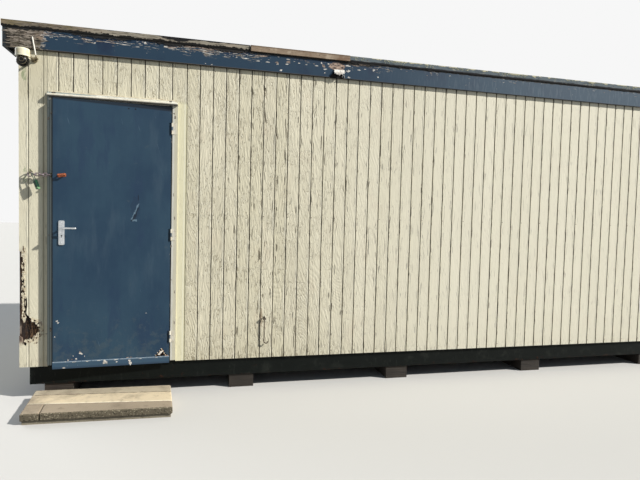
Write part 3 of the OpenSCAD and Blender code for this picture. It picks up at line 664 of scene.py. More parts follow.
# %% [markdown]
# The two end boards are nearly black and dull, so they need only a little worn grain.

# %% End boards
look = Look("fascia_paint_ends")
cloud = look.noise(look.y, look.z, 0.0, 8.0, 4.0)
grain = look.noise(look.y * 0.06, look.z, 2.0, 200.0, 3.0)
worn = (grain + cloud * 0.4).step(0.78, 0.84)
colour = look.mix(paint(24, 27, 30), paint(52, 60, 68), cloud)
wear("fascia_ends", look.finish(
    look.mix(colour, paint(98, 92, 86), worn), 0.7, grain - worn, 0.001,
    Specular_IOR_Level=0.25))
print("end boards ready")

# %% [markdown]
# ## Roof edge and roofing felt
# Lengths of batten hold the felt down along the front. The left one is old, olive at its left
# end and bleached further on. The plain ones along the other edges share its finish.

# %% Old battens
look = Look("old_batten")
ends = abs(look.x).step(3.1, 3.112) * abs(look.y).step(1.19, 1.18)
lengthwise = look.vector(look.x, look.y + look.z)
u, v, _ = look.split(look.mix(lengthwise, look.vector(look.y, look.x + look.z), ends))
wood, height = grey_wood(look, u, v, 11.0)
blotch = look.noise(u * 0.5, v, 5.0, 12.0, 4.0, 0.6)
bleached = look.x.step(-2.68, -2.5) * (0.35 + blotch * 0.8)
felted = look.noise(u * 0.22, v, 9.0, 16.0, 3.0, 0.6) + look.z.step(2.785, 2.803) * 0.2
ragged = look.noise(look.x, look.z * 0.6, 0.0, 22.0, 5.0, 0.7)
# The foot of the batten's face is painted near black: the shade under it and the felt's edge.
foot = (look.z - 2.7665 + (ragged - 0.5) * 0.05).step(0.004, 0.001) * abs(look.y).step(1.2, 1.21)
wear("edge_batten_left edge_battens_plain", look.finish(look.layers(
    wood,
    (paint(126, 114, 82), blotch.step(0.42, 0.6) * look.x.step(-2.5, -2.7) * 0.7),
    (paint(182, 176, 160), bleached.clipped() * 0.75),
    (paint(92, 86, 76), look.noise(look.x * 0.1, look.z, 19.0, 120.0, 3.0).step(0.52, 0.62) * 0.7),
    (paint(24, 24, 26), felted.step(0.58, 0.63) * look.x.step(-2.6, -2.4)),
    (paint(16, 15, 14), foot)),
    0.85, height, 0.0018, Specular_IOR_Level=0.25))
print("old battens ready")

# %% [markdown]
# The middle length is newer and brown. The right one was painted blue-grey and has since
# grown lichen.

# %% New and painted battens
look = Look("new_batten")
grain = look.noise(look.x * 0.05, look.z + look.y, 0.0, 300.0, 4.0, 0.6)
blotch = look.noise(look.x, look.z, 3.0, 7.0, 4.0, 0.6)
top = look.z.step(2.786, 2.796)
# The new batten's left end, whose end face is in shade, is painted near black.
wear("edge_batten_new", look.finish(look.layers(
    look.mix(paint(172, 152, 130), paint(130, 112, 94), grain.step(0.35, 0.68)),
    (paint(116, 84, 62), blotch.step(0.54, 0.64) * 0.6),
    (paint(200, 184, 162), blotch.step(0.44, 0.34) * 0.6),
    (paint(104, 86, 68), top * 0.7),
    (paint(40, 30, 24), look.x.step(-1.362, -1.368))),
    0.8, grain, 0.001, Specular_IOR_Level=0.3))

look = Look("painted_batten")
grain = look.noise(look.x * 0.06, look.z + look.y, 0.0, 240.0, 3.0)
patch = look.noise(look.x * 0.5, look.z + look.y, 2.0, 26.0, 4.0, 0.7)
top = look.z.step(2.780, 2.800)
lichen = (patch + top * 0.16).step(0.64, 0.68)
# The foot of the batten's face is painted near black: the shade under it and the felt's edge.
foot = (look.z - 2.7655 + (patch - 0.5) * 0.02).step(0.003, 0.0) * abs(look.y).step(1.2, 1.21)
wear("edge_batten_right", look.finish(look.layers(
    look.mix(paint(84, 96, 106), paint(116, 126, 130), grain),
    (paint(142, 138, 128), patch.step(0.55, 0.62) * 0.5),
    (paint(58, 68, 74), look.noise(look.x * 0.3, look.z, 6.0, 20.0, 3.0).step(0.5, 0.6) * 0.5),
    (paint(214, 208, 176), lichen * 0.85),
    (paint(18, 19, 22), foot)),
    0.8, grain * 0.4 + lichen, 0.0015, Specular_IOR_Level=0.25))
print("all battens ready")

# %% [markdown]
# Felt is grit in bitumen: a very fine noise for the chips, one tone for each strip that was
# rolled out, pale rings where water has dried and moss where it stands longest.

# %% Roofing felt
look = Look("roofing_felt")
grit = look.noise(look.x, look.y, look.z, 700.0, 2.0)
pool = look.noise(look.x, look.y, 0.0, 0.9, 4.0, 0.6)
moss = (look.noise(look.x, look.y, 4.0, 26.0, 4.0, 0.7) + pool * 0.3).step(0.78, 0.84)
LAP_EVERY = 0.925    # the felt is laid in strips of this width
strip = look.chance((look.x / LAP_EVERY).floor() + 0.5)
wear("roof_felt", look.finish(look.layers(
    look.mix(paint(50, 52, 52), paint(80, 81, 79), grit.step(0.4, 0.7)),
    (paint(98, 98, 94), strip * 0.35),
    (paint(104, 102, 94), pool.step(0.52, 0.7) * 0.55),
    (paint(78, 84, 50), moss * 0.7)),
    0.9, grit, 0.0012, Specular_IOR_Level=0.25))
print(len(Look.made), "finishes so far")

# %% [markdown]
# ## The door
# The leaf hangs on its pin a few degrees open, so its pattern is measured from the pin, along
# the leaf. A Mapping node turns the coordinates back to the shut door, and `on_leaf` goes the
# other way for the pieces that are set on the leaf later.

# %% Places on the leaf
hinge = next(j for j in frame["joints"] if j["name"] == "door_hinge")
PIN = Vector((hinge["pos_m"][0], hinge["pos_m"][1], 0.0))
AJAR = math.radians(3.0)    # how far the leaf stands open at rest
LEAF_FACE = 0.005           # its face lies this far behind the pin
LEAF_WIDE = 0.841           # from the pin to the free edge


def leaf_place(look):
    """Position along the shut leaf from the pin (negative), behind the pin, and up."""
    back = Matrix.Rotation(-AJAR, 3, "Z")
    inputs = {"Vector": look.place, "Location": -(back @ PIN), "Rotation": (0.0, 0.0, -AJAR)}
    return look.split(look.node("Mapping", {"vector_type": "POINT"}, inputs))


def on_leaf(u, z, proud=0.0):
    """The point of the scene that lies at u and z on the leaf, proud in front of its face."""
    return Matrix.Rotation(AJAR, 3, "Z") @ Vector((u, LEAF_FACE - proud, z)) + PIN


print("the pin is at", [round(value, 4) for value in PIN])

# %% [markdown]
# One gouge crosses the leaf at chest height, with a light scrape beside it that ends in a
# short tail. Both lean the same way, so both are measured from one leaning line.


# %% The gouge
def gouge_and_scrape(look, u, z):
    torn = look.noise(u, z * 0.4, 2.0, 70.0, 3.0, 0.6) * 0.03
    lean = u + 0.259 - (z - 1.43) * 0.42
    gouge = (abs(lean + torn - 0.015) + (z - 1.372).most(0.0) * 0.10).step(0.016, 0.011)
    gouge = gouge * look.band(z + torn, 1.385, 1.50, 0.004)
    gouge = gouge.most(look.blot(u, z, (-0.244, 1.552), (0.004, 0.022), 0.2))
    scrape = (abs(lean + torn - 0.002) - 0.002).step(0.0045, 0.001)
    scrape = scrape * look.band(z, 1.385, 1.50, 0.01)
    tail = look.band(z + torn, 1.383, 1.395, 0.003) * look.band(u, -0.285, -0.255, 0.003)
    return gouge, scrape.most(tail)


print("the gouge's recipe is ready")

# %% [markdown]
# The leaf is slate blue with long smears, grime low down and paint rubbed off at both edges.
# The strip over the leaf throws a wedge of shadow along its top, which is painted dark into the
# leaf, and both edges by the gaps have painted shade. Inside the broken corner the board is dark,
# partly its own colour and partly painted shade of the hollow.

# %% Door leaf
look = Look("door_paint")
u, v, z = leaf_place(look)
cloud = look.noise(u, z * 0.6, 0.0, 2.2, 4.0, 0.6)
smear = look.noise(u, z * 0.22, 3.0, 6.0, 4.0, 0.65)
brush = look.noise(u, z * 0.03, 1.0, 300.0, 2.0)
low = z.step(0.75, 0.35)
grime = (look.noise(u, z, 5.0, 14.0, 4.0, 0.7) + low * 0.16).step(0.62, 0.74)
from_pin, from_free = 0.0 - u, u + LEAF_WIDE
edge = (from_pin.step(0.03, 0.004) * 0.5).most(from_free.step(0.010, 0.002) * 0.4)
worn = (edge * 0.28 + look.noise(u, z * 0.5, 7.0, 38.0, 3.0, 0.7)).step(0.76, 0.81)
scuff = look.blot(u, z, (-0.267, 1.471), (0.034, 0.078), 0.35, 30.0)
gouge, scrape = gouge_and_scrape(look, u, z)
scratch = look.noise(u + z * 0.3, z * 0.06, 8.0, 90.0, 2.0).step(0.71, 0.74)
scratch = scratch * look.noise(u, z, 6.0, 5.0, 2.0).step(0.52, 0.6)
screws = look.blot(u, z, (-0.318, 2.228), (0.006, 0.006), 0.1)
screws = screws.most(look.blot(u, z, (-0.270, 2.227), (0.006, 0.006), 0.1))
# Painted shade along both edges of the leaf, by the gaps.
edge_shade = from_free.step(0.0065, 0.0015).most(from_pin.step(0.010, 0.004))
# Painted shadow: a dark wedge along the leaf's top, thickest by the hinge.
painted_shadow_top = (z - 2.25403 + from_free * 0.030).step(-0.002, 0.008)
slate = look.layers(
    look.mix(paint(33, 58, 80), paint(45, 71, 90), cloud.step(0.35, 0.65)),
    (paint(66, 86, 102), smear.step(0.52, 0.72) * 0.40),
    (paint(32, 52, 80), smear.step(0.46, 0.34) * 0.45),
    (paint(74, 88, 96), grime * 0.40),
    (paint(30, 46, 68), scuff * 0.35),
    (paint(16, 26, 40), gouge * 0.8),
    (paint(122, 148, 166), (scrape * 0.62).most(scratch * 0.15)),
    (paint(146, 140, 130), worn * 0.7),
    (paint(30, 42, 54), edge_shade * 0.75),
    (paint(8, 16, 26), screws.most(painted_shadow_top * 0.8)),
)
indoor = look.mix(paint(208, 206, 196), paint(190, 188, 178), cloud)
colour = look.mix(slate, indoor, v.step(0.022, 0.026))
# Inside the broken corner the board is painted dark brown to near black, partly its colour and
# partly shade.
core = look.mix(paint(58, 40, 28), paint(18, 14, 12), look.noise(u * 3.0, z, 1.0, 60.0, 3.0))
broken = z.step(0.39, 0.38) * look.band(u, -0.125, -0.01)
hollow = look.band(v, 0.0075, 0.0225, 0.001) * broken
slab = look.band(v, 0.0225, 0.0235, 0.0005) * broken
wear("door_leaf", look.finish(
    look.mix(colour, core, hollow.most(slab)), 0.5 + grime * 0.2 + cloud * 0.1,
    brush * 0.25 + cloud * 0.8 - worn * 0.7 - scuff * 0.3, 0.0012, Specular_IOR_Level=0.3))
print("leaf ready")

# %% [markdown]
# The weather bar at its foot is a lighter blue, pale along its top and chipped to white.

# %% Weather bar
look = Look("weather_bar_paint")
u, v, z = leaf_place(look)
chip = look.noise(u, z * 0.8, 0.0, 55.0, 4.0, 0.7)
top = z.step(0.286, 0.296)
bare = (chip + top * 0.12).step(0.68, 0.72)
grime = look.noise(u * 0.4, z, 2.0, 24.0, 3.0)
wear("weather_bar", look.finish(look.layers(
    look.mix(paint(53, 80, 106), paint(62, 85, 101), grime),
    (paint(38, 54, 74), z.step(0.264, 0.248) * 0.6),
    (paint(150, 168, 184), top * chip.step(0.36, 0.44) * 0.8),
    (paint(216, 212, 204), bare * 0.85)),
    0.5, grime * 0.4 - bare, 0.001, Specular_IOR_Level=0.3))
print("weather bar ready")

# %% [markdown]
# The frame was once white. Its left post stands in the leaf's shade, which is painted into it as a
# cool grey, the right one is cream, and dark lines of painted shade mark the gaps along both. The
# strip over the door has painted shade, near black, along its lower edge. The hinges had the same
# paint, on their leaf side blue.


# %% Frame and hinges
def old_white(name, light, dark, under, dirt=0.5, flaking=0.66, extra=None):
    """Old gloss on wood or iron, chipped down to what lies under it."""
    look = Look(name)
    x, y, z = look.x, look.y, look.z
    streak = look.noise(x + y, z * 0.15, 0.0, 40.0, 4.0, 0.65)
    chip = look.noise(x + y, z * 0.5, 3.0, 60.0, 4.0, 0.7).step(flaking, flaking + 0.04)
    colour = look.layers(
        look.mix(light, dark, streak.step(0.4, 0.65)),
        (paint(150, 142, 124), streak.step(0.58, 0.72) * dirt),
        (under, chip * 0.85),
        *(extra(look) if extra else []),
    )
    return look.finish(colour, 0.55, streak * 0.5 - chip, 0.001, Specular_IOR_Level=0.35)


GREY_UNDER, RUST = paint(112, 92, 70), paint(120, 62, 36)
# Painted shade: the left post's cool grey, and the dark bands beside the leaf.
wear("door_jambs door_head", old_white(
    "frame_paint", paint(220, 222, 216), paint(188, 190, 182), GREY_UNDER, 0.5, 0.66,
    lambda k: [(paint(140, 153, 153), k.x.step(-2.5, -2.6) * 0.85),
               (paint(226, 222, 206), k.x.step(-2.3, -2.2) * 0.55),
               (paint(206, 200, 174), k.x.step(-1.952, -1.946) * 0.7),
               (paint(24, 24, 25), k.band(k.x, -1.990, -1.9715, 0.001) * 0.85),
               (paint(52, 52, 48), k.band(k.x, -2.8405, -2.8375, 0.001) * 0.7),
               (paint(30, 30, 29), k.band(k.x, -2.8255, -2.80, 0.002) * k.y.step(-1.20, -1.21))]))
# Painted shade: near black along the strip's lower edge.
wear("drip_strip", old_white(
    "drip_paint", paint(252, 248, 232), paint(236, 228, 206), GREY_UNDER, 0.2, 0.66,
    lambda k: [(paint(12, 13, 14), k.z.step(2.2885, 2.2855) * 0.92)]))
wear("hinges_frame_side", old_white(
    "hinge_paint", paint(226, 222, 208), paint(196, 188, 170), RUST, 0.4, 0.60))
wear("hinges_leaf_side", old_white(
    "hinge_paint_blue", paint(84, 100, 114), paint(66, 80, 94), paint(206, 198, 184), 0.2, 0.55))
print("frame and hinges ready")

# %% [markdown]
# The ironwork is one recipe, a spotted metal, from bright satin on the lever to dull rust on the
# wall's hook. Only the padlock has paint, green, with rubbed corners and a painted highlight along
# one edge.


# %% Ironwork
def metal(name, bright, dark, rough, scale=60.0, metallic=1.0):
    look = Look(name)
    spot = look.noise(look.x, look.y, look.z, scale, 4.0, 0.65)
    fine = look.noise(look.x, look.y, look.z * 0.2, scale * 12.0, 2.0)
    colour = look.mix(bright, dark, spot.step(0.42, 0.62))
    return look.finish(colour, rough + spot * 0.2, spot * 0.6 + fine * 0.3, 0.0004,
                       metallic)


satin = metal("satin_metal", paint(208, 211, 213), paint(188, 193, 197), 0.30)
wear("handle_plates lever_handle", satin)
wear("lock_chain", metal(
    "chain_steel", paint(152, 144, 150), paint(104, 84, 84), 0.45, 220.0, 0.8))
wear("wall_eye", metal("eye_steel", paint(138, 140, 116), paint(96, 92, 70), 0.5, 160.0, 0.5))
wear("wall_hook", metal("hook_rust", paint(74, 58, 46), paint(34, 26, 22), 0.6, 120.0, 0.3))
wear("door_staple", metal("staple_rust", paint(190, 112, 70), paint(104, 46, 34), 0.6, 120.0, 0.2))

look = Look("padlock_green")
spot = look.noise(look.x, look.y, look.z, 90.0, 4.0, 0.65)
worn_end = (look.z - look.x * 0.35 + spot * 0.02).step(2.636, 2.630)
# Painted highlight: a pale line along one edge of the padlock.
rim = (look.x + look.z * 0.38 + spot * 0.006).step(-2.3080, -2.3105) * look.z.step(1.665, 1.655)
wear("padlock", look.finish(look.layers(
    look.mix(paint(26, 66, 46), paint(16, 40, 32), spot.step(0.42, 0.62)),
    (paint(128, 168, 124), worn_end * 0.8), (paint(168, 196, 170), rim * 0.7)),
    0.4, spot, 0.0004))
print(len(Look.made), "finishes so far")

# %% [markdown]
# ## Base, room and bare timber
# Under the cabin there is black steel with a film of pale dust and some rust, on timber bearers,
# which are painted nearly black with the shade they stand in.

# %% Base finishes
look = Look("black_steel")
x, y, z = look.x, look.y, look.z
dust = look.noise(x, z, y, 7.0, 4.0, 0.65)
streak = look.noise(x, z * 0.2, y, 50.0, 3.0)
rust = (look.noise(x, z * 0.7, y, 18.0, 5.0, 0.7) + z.step(0.15, 0.11) * 0.1).step(0.66, 0.74)
wear("base_beam_front base_beam_back base_beam_ends cross_members", look.finish(look.layers(
    look.mix(paint(9, 13, 11), paint(20, 24, 22), dust),
    (paint(66, 68, 62), dust.step(0.54, 0.74) * 0.26),
    (paint(58, 60, 56), streak.step(0.60, 0.72) * 0.25),
    (paint(84, 50, 34), rust * 0.35)),
    0.6 + rust * 0.3, dust * 0.5 + rust, 0.0012, Specular_IOR_Level=0.12))

look = Look("bearer_timber")
wood, height = grey_wood(look, look.y + look.x * 0.2, look.z + look.x * 0.06, 21.0)
damp = look.noise(look.x, look.y, look.z, 6.0, 3.0)
# Painted shade: the bearers' wood is mixed most of the way to near black.
wear("ground_bearers", look.finish(
    look.mix(wood, paint(30, 25, 21), 0.80 + damp * 0.2), 0.85, height, 0.002))
print("base ready")

# %% [markdown]
# The room behind the door was guessed: a trodden sheet floor, painted lining boards with a
# few scuffs low down, and a damp patch on the ceiling.

# %% Inside finishes
look = Look("floor_sheet")
x, y, z = look.x, look.y, look.z
fleck = look.noise(x, y, 0.0, 240.0, 2.0)
trodden = look.noise(x, y, 1.0, 1.6, 4.0, 0.6)
ply = look.noise(x * 0.08, y, 2.0, 120.0, 3.0)
vinyl = look.layers(
    look.mix(paint(116, 112, 102), paint(134, 130, 118), fleck.step(0.4, 0.6)),
    (paint(92, 86, 76), trodden.step(0.5, 0.7) * 0.6))
timber = look.mix(paint(134, 104, 70), paint(104, 78, 52), ply)
wear("floor_deck", look.finish(
    look.mix(timber, vinyl, z.step(0.2765, 0.2775)), 0.55, fleck, 0.0004))

look = Look("lining_board")
x, y, z = look.x, look.y, look.z
cloud = look.noise(x, y, z, 1.4, 4.0, 0.6)
peel = look.noise(x, y, z, 330.0, 2.0)
scuffed = look.noise(x + y, z * 2.0, 3.0, 9.0, 4.0, 0.7) + z.step(1.3, 0.5) * 0.1
scuffed = scuffed.step(0.66, 0.74)
wear("front_wall_left front_wall_over_door front_wall_right back_wall left_wall right_wall",
     look.finish(look.layers(
         look.mix(paint(214, 208, 192), paint(200, 194, 176), cloud),
         (paint(150, 142, 126), scuffed * 0.4)), 0.6, peel, 0.0003))

look = Look("ceiling_board")
cloud = look.noise(look.x, look.y, 0.0, 1.2, 4.0)
peel = look.noise(look.x, look.y, 0.0, 260.0, 2.0)
damp = look.noise(look.x, look.y, 5.0, 2.6, 5.0, 0.6).step(0.62, 0.7)
wear("ceiling_board", look.finish(look.layers(
    look.mix(paint(226, 222, 210), paint(212, 208, 196), cloud),
    (paint(182, 164, 128), damp * 0.5)), 0.7, peel, 0.0003))
print("room ready")

# %% [markdown]
# Bare timber shows at the roof's edge, in the sill and, brown and rotten, in the hole at the
# corner. The first two start from the weathered grain of the fascia's bare end, and the
# third is fibre with dark voids.

# %% Bare timber
look = Look("roof_timber")
wood, height = grey_wood(look, look.y, look.x + look.z, 31.0)
wear("roof_deck", look.finish(look.mix(wood, paint(150, 118, 82), 0.6), 0.8, height, 0.001))

look = Look("sill_timber")
wood, height = grey_wood(look, look.x, look.y + look.z, 41.0)
wear("door_sill", look.finish(look.mix(wood, paint(96, 74, 52), 0.4), 0.75, height, 0.001))

look = Look("rotten_timber")
fibre = look.noise(look.x, look.z * 0.07, look.y, 170.0, 4.0, 0.65)
void = look.noise(look.x, look.z * 0.25, 4.0, 44.0, 3.0, 0.6)
brownest = look.band(look.x, -2.985, -2.915, 0.01) * look.z.step(0.455, 0.48)
wear("corner_post", look.finish(look.layers(
    look.mix(paint(60, 44, 34), paint(26, 18, 14), fibre.step(0.35, 0.65)),
    (paint(118, 92, 62), fibre.step(0.52, 0.42) * brownest * 0.7),
    (paint(14, 10, 8), void.step(0.46, 0.56))), 0.9, fibre - void.step(0.5, 0.6) * 2.0, 0.004))
print(len(Look.made), "finishes so far")

# %% [markdown]
# ## Camera and doorstep
# The camera is cream plastic that has yellowed in a band, with a black ball. Its arm is painted
# brownish grey, the colour of its cream in shade, and its aerial white.

# %% Camera finishes
look = Look("camera_plastic")
fine = look.noise(look.x, look.y, look.z, 500.0, 2.0)
dirt = look.noise(look.x, look.y, look.z * 0.4, 40.0, 4.0, 0.6)
tan = look.band(look.z, 2.538, 2.556, 0.008) * dirt.step(0.35, 0.55)
cream_plastic = look.finish(look.layers(
    look.mix(paint(240, 234, 206), paint(206, 192, 150), dirt.step(0.50, 0.7) * 0.7),
    (paint(214, 188, 146), tan * 0.6)), 0.4, fine, 0.0001)
wear("camera_cap", cream_plastic)

look = Look("camera_arm")
dirt = look.noise(look.x, look.y, look.z, 60.0, 4.0, 0.6)
aerial = look.z.step(2.56, 2.57)
# Painted shade: the arm's cream is given as the brownish grey it has in shade.
wear("camera_bracket", look.finish(look.mix(
    look.mix(paint(126, 116, 90), paint(96, 86, 64), dirt), paint(240, 238, 228), aerial),
    0.5, dirt, 0.0002))

look = Look("camera_glass")
dirt = look.noise(look.x, look.y, look.z, 90.0, 4.0, 0.6)
black_glass = look.finish(look.mix(
    paint(5, 6, 6), paint(16, 16, 15), dirt.step(0.5, 0.7)), 0.22 + dirt * 0.15, dirt, 0.0001,
    Specular_IOR_Level=0.22)
wear("camera_ball", black_glass)
print("camera ready")

# %% [markdown]
# The doorstep is made of kerb stones of three ages: the back row is grey, the middle one
# sandy and the front one brown-grey, with its pebbles showing where the face has worn away.
# The rows lie a little askew, so `behind` and `before` measure from their two joints.


# %% Doorstep finishes
def stone(name, tone=None):
    """Kerb stone in one tone, or without one in the three tones of the doorstep's rows."""
    look = Look(name)
    x, y, z = look.x, look.y, look.z
    sand = look.noise(x, y, z, 420.0, 3.0, 0.6)
    stir = look.noise(x, y, z, 160.0, 2.0) * 0.012
    pebble = look.cells(x + stir, y, z - stir, 95.0)
    stone_tone = look.cells(x + stir, y, z - stir, 95.0, "Color")
    pit = look.noise(x, y, z, 70.0, 4.0, 0.7)
    cloud = look.noise(x, y, z, 5.0, 4.0, 0.6)
    damp = look.noise(x, y, z, 16.0, 3.0, 0.6)
    if tone is None:
        behind, before = y + x * 0.0732 + 1.5560, y + x * 0.0945 + 1.7876
        middle, front = behind.step(0.002, -0.002), before.step(0.002, -0.002)
        dull = x.step(-2.86, -2.90) * middle
        ground = look.layers(
            paint(182, 170, 147), (paint(218, 201, 170), middle),
            (paint(176, 160, 140), dull * 0.6),
            (paint(160, 146, 126), front),
            (paint(62, 56, 46), look.band(behind, -0.0055, 0.0025, 0.002) * 0.9),
            (paint(240, 230, 204), look.band(before, -0.0015, 0.0060, 0.002) * 0.8))
        lip = (y + x * 0.0347 + 1.8052 + (pit - 0.5) * 0.03).step(0.013, 0.005)
        face = front * z.step(0.073, 0.066).most(lip)
    else:
        ground, face = tone, 0.25
    speck = look.split(stone_tone)[0]
    colour = look.layers(
        look.mix(ground, look.mix(ground, paint(120, 108, 92), 0.7), cloud.step(0.44, 0.75)),
        (paint(104, 94, 80), damp.step(0.56, 0.72) * 0.35),
        (paint(240, 230, 208), sand.step(0.60, 0.74) * 0.35),
        (paint(92, 86, 70), face * 0.80),
        (paint(176, 166, 142), face * speck.step(0.50, 0.80) * pebble.step(0.50, 0.25) * 0.8),
        (paint(46, 44, 34), face * speck.step(0.45, 0.25) * pebble.step(0.55, 0.30) * 0.85),
        (paint(70, 62, 52), pit.step(0.66, 0.74) * 0.5),
    )
    height = sand * 0.5 + cloud - pit.step(0.6, 0.72) * 1.2 - pebble * face
    return look.finish(colour, 0.92, height, 0.0022, Specular_IOR_Level=0.3)


kerb_finish = stone("kerb_stone")
wear("doorstep_kerbs", kerb_finish)
wear("doorstep_course", stone("course_stone", paint(168, 158, 138)))
print(len(Look.made), "finishes in all")

# %% [markdown]
# ## Small pieces that repeat
# Flakes of paint, nail heads, splinters and crumbs of lichen all work in one way: bare points say
# where each one sits, how large it is and how it is turned, and a Geometry Nodes tree stands a
# shape on every point and roughens it at random from a fixed seed. In the end each piece is a
# plain mesh that rides with its body and may replace a solid.


# %% Points, and finished pieces
def spots(name, places):
    """Bare points from (place, size, turn) triples."""
    mesh = bpy.data.meshes.new(name)
    mesh.from_pydata([p[0] for p in places], [], [])
    for key, column in (("size", 1), ("turn", 2)):
        layer = mesh.attributes.new(key, "FLOAT_VECTOR", "POINT")
        for item, place in zip(layer.data, places):
            item.vector = place[column]
    return mesh


def settle(piece, body, slot, *replaced):
    """Turns a piece into a plain mesh, gives it its body, and hides the node that it replaces.
    slot is not used.
    """
    view = bpy.context.evaluated_depsgraph_get()
    plain = bpy.data.meshes.new_from_object(piece.evaluated_get(view))
    piece.modifiers.clear()
    piece.data = plain
    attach(piece, body)
    if replaced:
        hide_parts(*replaced)
    print(piece.name, len(plain.polygons), "faces")
    return piece


print("points and pieces ready")

# %% [markdown]
# `Growth` builds a tree with named inputs. The sizes come in as the tree's own sockets, so
# one tree serves many pieces.


# %% A tree that grows pieces on points
class Growth:
    SOCKETS = {float: "Float", int: "Int", type(None): "Material"}

    def __init__(self, name, sizes):
        self.tree = bpy.data.node_groups.new(name, "GeometryNodeTree")
        face = self.tree.interface
        face.new_socket("Geometry", in_out="INPUT", socket_type="NodeSocketGeometry")
        self.keys = {}
        for key, value in sizes.items():
            kind = "NodeSocket" + self.SOCKETS[type(value)]
            socket = face.new_socket(key, in_out="INPUT", socket_type=kind)
            self.keys[key] = socket.identifier
            if value is not None:
                socket.default_value = value
        face.new_socket("Geometry", in_out="OUTPUT", socket_type="NodeSocketGeometry")
        self.start = self.tree.nodes.new("NodeGroupInput")
        self.end = self.tree.nodes.new("NodeGroupOutput")

    def ask(self, key):
        return self.start.outputs[key]

    def node(self, kind, settings=None, inputs=None):
        made = self.tree.nodes.new(kind)
        for key, value in (settings or {}).items():
            setattr(made, key, value)
        for key, value in (inputs or {}).items():
            several = value if isinstance(value, list) else [value]
            for one in several:
                if isinstance(one, bpy.types.NodeSocket):
                    self.tree.links.new(one, made.inputs[key])
                else:
                    made.inputs[key].default_value = one
        return made.outputs[0]

    def close(self, shape):
        real = self.node("GeometryNodeRealizeInstances", None, {0: shape})
        worn = {0: real, "Material": self.ask("Material")}
        self.tree.links.new(self.node("GeometryNodeSetMaterial", None, worn), self.end.inputs[0])

    def grow(self, name, places, material, body, slot, **sizes):
        """Stands the tree's shape on every place, and keeps the result as one piece."""
        piece = put(name, spots(name, places))
        modifier = piece.modifiers.new("grow", "NODES")
        modifier.node_group = self.tree
        for key, value in {**sizes, "Material": material}.items():
            modifier[self.keys[key]] = value
        return settle(piece, body, slot)


print("growth ready")

# %% [markdown]
# `standing` makes one tree for each kind of shape. A flake starts as a flat disc whose rim is
# pulled about and is then extruded to the thickness of a paint film. The other shapes start
# solid.


# %% Flakes, heads, crumbs and splinters
def standing(name, shape, inputs, flat=False):
    sizes = {"Ragged": 0.3, "Lift": 0.0, "Thickness": 0.001, "Seed": 1, "Material": None}
    g = Growth(name, sizes)
    named = {"data_type": "FLOAT_VECTOR"}
    size = g.node("GeometryNodeInputNamedAttribute", named, {"Name": "size"})
    turn = g.node("GeometryNodeInputNamedAttribute", named, {"Name": "turn"})
    placed = g.node("GeometryNodeInstanceOnPoints", None, {
        "Points": g.start.outputs[0], "Instance": g.node(shape[0], shape[1], inputs),
        "Rotation": turn, "Scale": size})
    real = g.node("GeometryNodeRealizeInstances", None, {0: placed})
    reach = g.node("ShaderNodeCombineXYZ", None, {
        0: g.ask("Ragged"), 1: g.ask("Ragged"), 2: g.ask("Lift")})
    low = g.node("ShaderNodeVectorMath", {"operation": "SCALE"}, {0: reach, "Scale": -1.0})
    luck = g.node("FunctionNodeRandomValue", named, {0: low, 1: reach, "Seed": g.ask("Seed")})
    push = g.node("ShaderNodeVectorMath", {"operation": "MULTIPLY"}, {0: luck, 1: size})
    push = g.node("FunctionNodeRotateVector", None, {0: push, 1: turn})
    torn = g.node("GeometryNodeSetPosition", None, {0: real, "Offset": push})
    if flat:
        thick = {0: torn, "Offset Scale": g.ask("Thickness"), "Individual": False}
        film = g.node("GeometryNodeExtrudeMesh", {"mode": "FACES"}, thick)
        back = g.node("GeometryNodeFlipFaces", None, {0: torn})
        torn = g.node("GeometryNodeJoinGeometry", None, {0: [film, back]})
        torn = g.node("GeometryNodeMergeByDistance", None, {0: torn, "Distance": 0.00002})
    g.close(torn)
    return g


FLAKES = standing("torn_flakes", ("GeometryNodeMeshCircle", {"fill_type": "NGON"}),
                  {"Vertices": 11, "Radius": 1.0}, True)
HEADS = standing("round_heads", ("GeometryNodeMeshCone", {"fill_type": "NGON"}), {
    "Vertices": 10, "Radius Top": 0.6, "Radius Bottom": 1.0, "Depth": 1.0})
CRUMBS = standing("crumbs", ("GeometryNodeMeshIcoSphere", {}), {"Radius": 1.0, "Subdivisions": 1})
SPLINTERS = standing("splinters", ("GeometryNodeMeshCone", {"fill_type": "NGON"}), {
    "Vertices": 4, "Radius Top": 0.15, "Radius Bottom": 1.0, "Depth": 1.0})

FACING = math.pi / 2           # turns a flat shape to face the front
FLAT = 0.001                   # the third size of a flat shape
FLAKE_SHARE = (0.92, 0.58)     # a torn disc looks larger than the mark it was measured from


def mark(x, y, z, wide, high, lean=0.0, tip=0.0):
    """A flake on a front face: its middle, its half sizes and how it is turned."""
    return (x, y, z), (wide, high, FLAT), (FACING + tip, lean, 0.0)


def front_flakes(rows, y, slack):
    """Flakes from rows of (x, z, half width, half height), each leaning up to slack."""
    return [mark(x, y, z, wide * FLAKE_SHARE[0], high * FLAKE_SHARE[1],
                 random.uniform(-slack, slack)) for x, z, wide, high in rows]


def plain_finish(name, light, dark, scale=120.0, rough=0.75):
    look = Look(name)
    tone = look.noise(look.x * 0.4, look.y, look.z, scale, 3.0, 0.6)
    return look.finish(look.mix(light, dark, tone.step(0.38, 0.64)), rough, tone, 0.0006,
                       Specular_IOR_Level=0.3)


print("small shapes ready")

# %% [markdown]
# What the flakes and splinters are made of: a pale undercoat, wood in several ages, and plies
# of board from pale to nearly black.

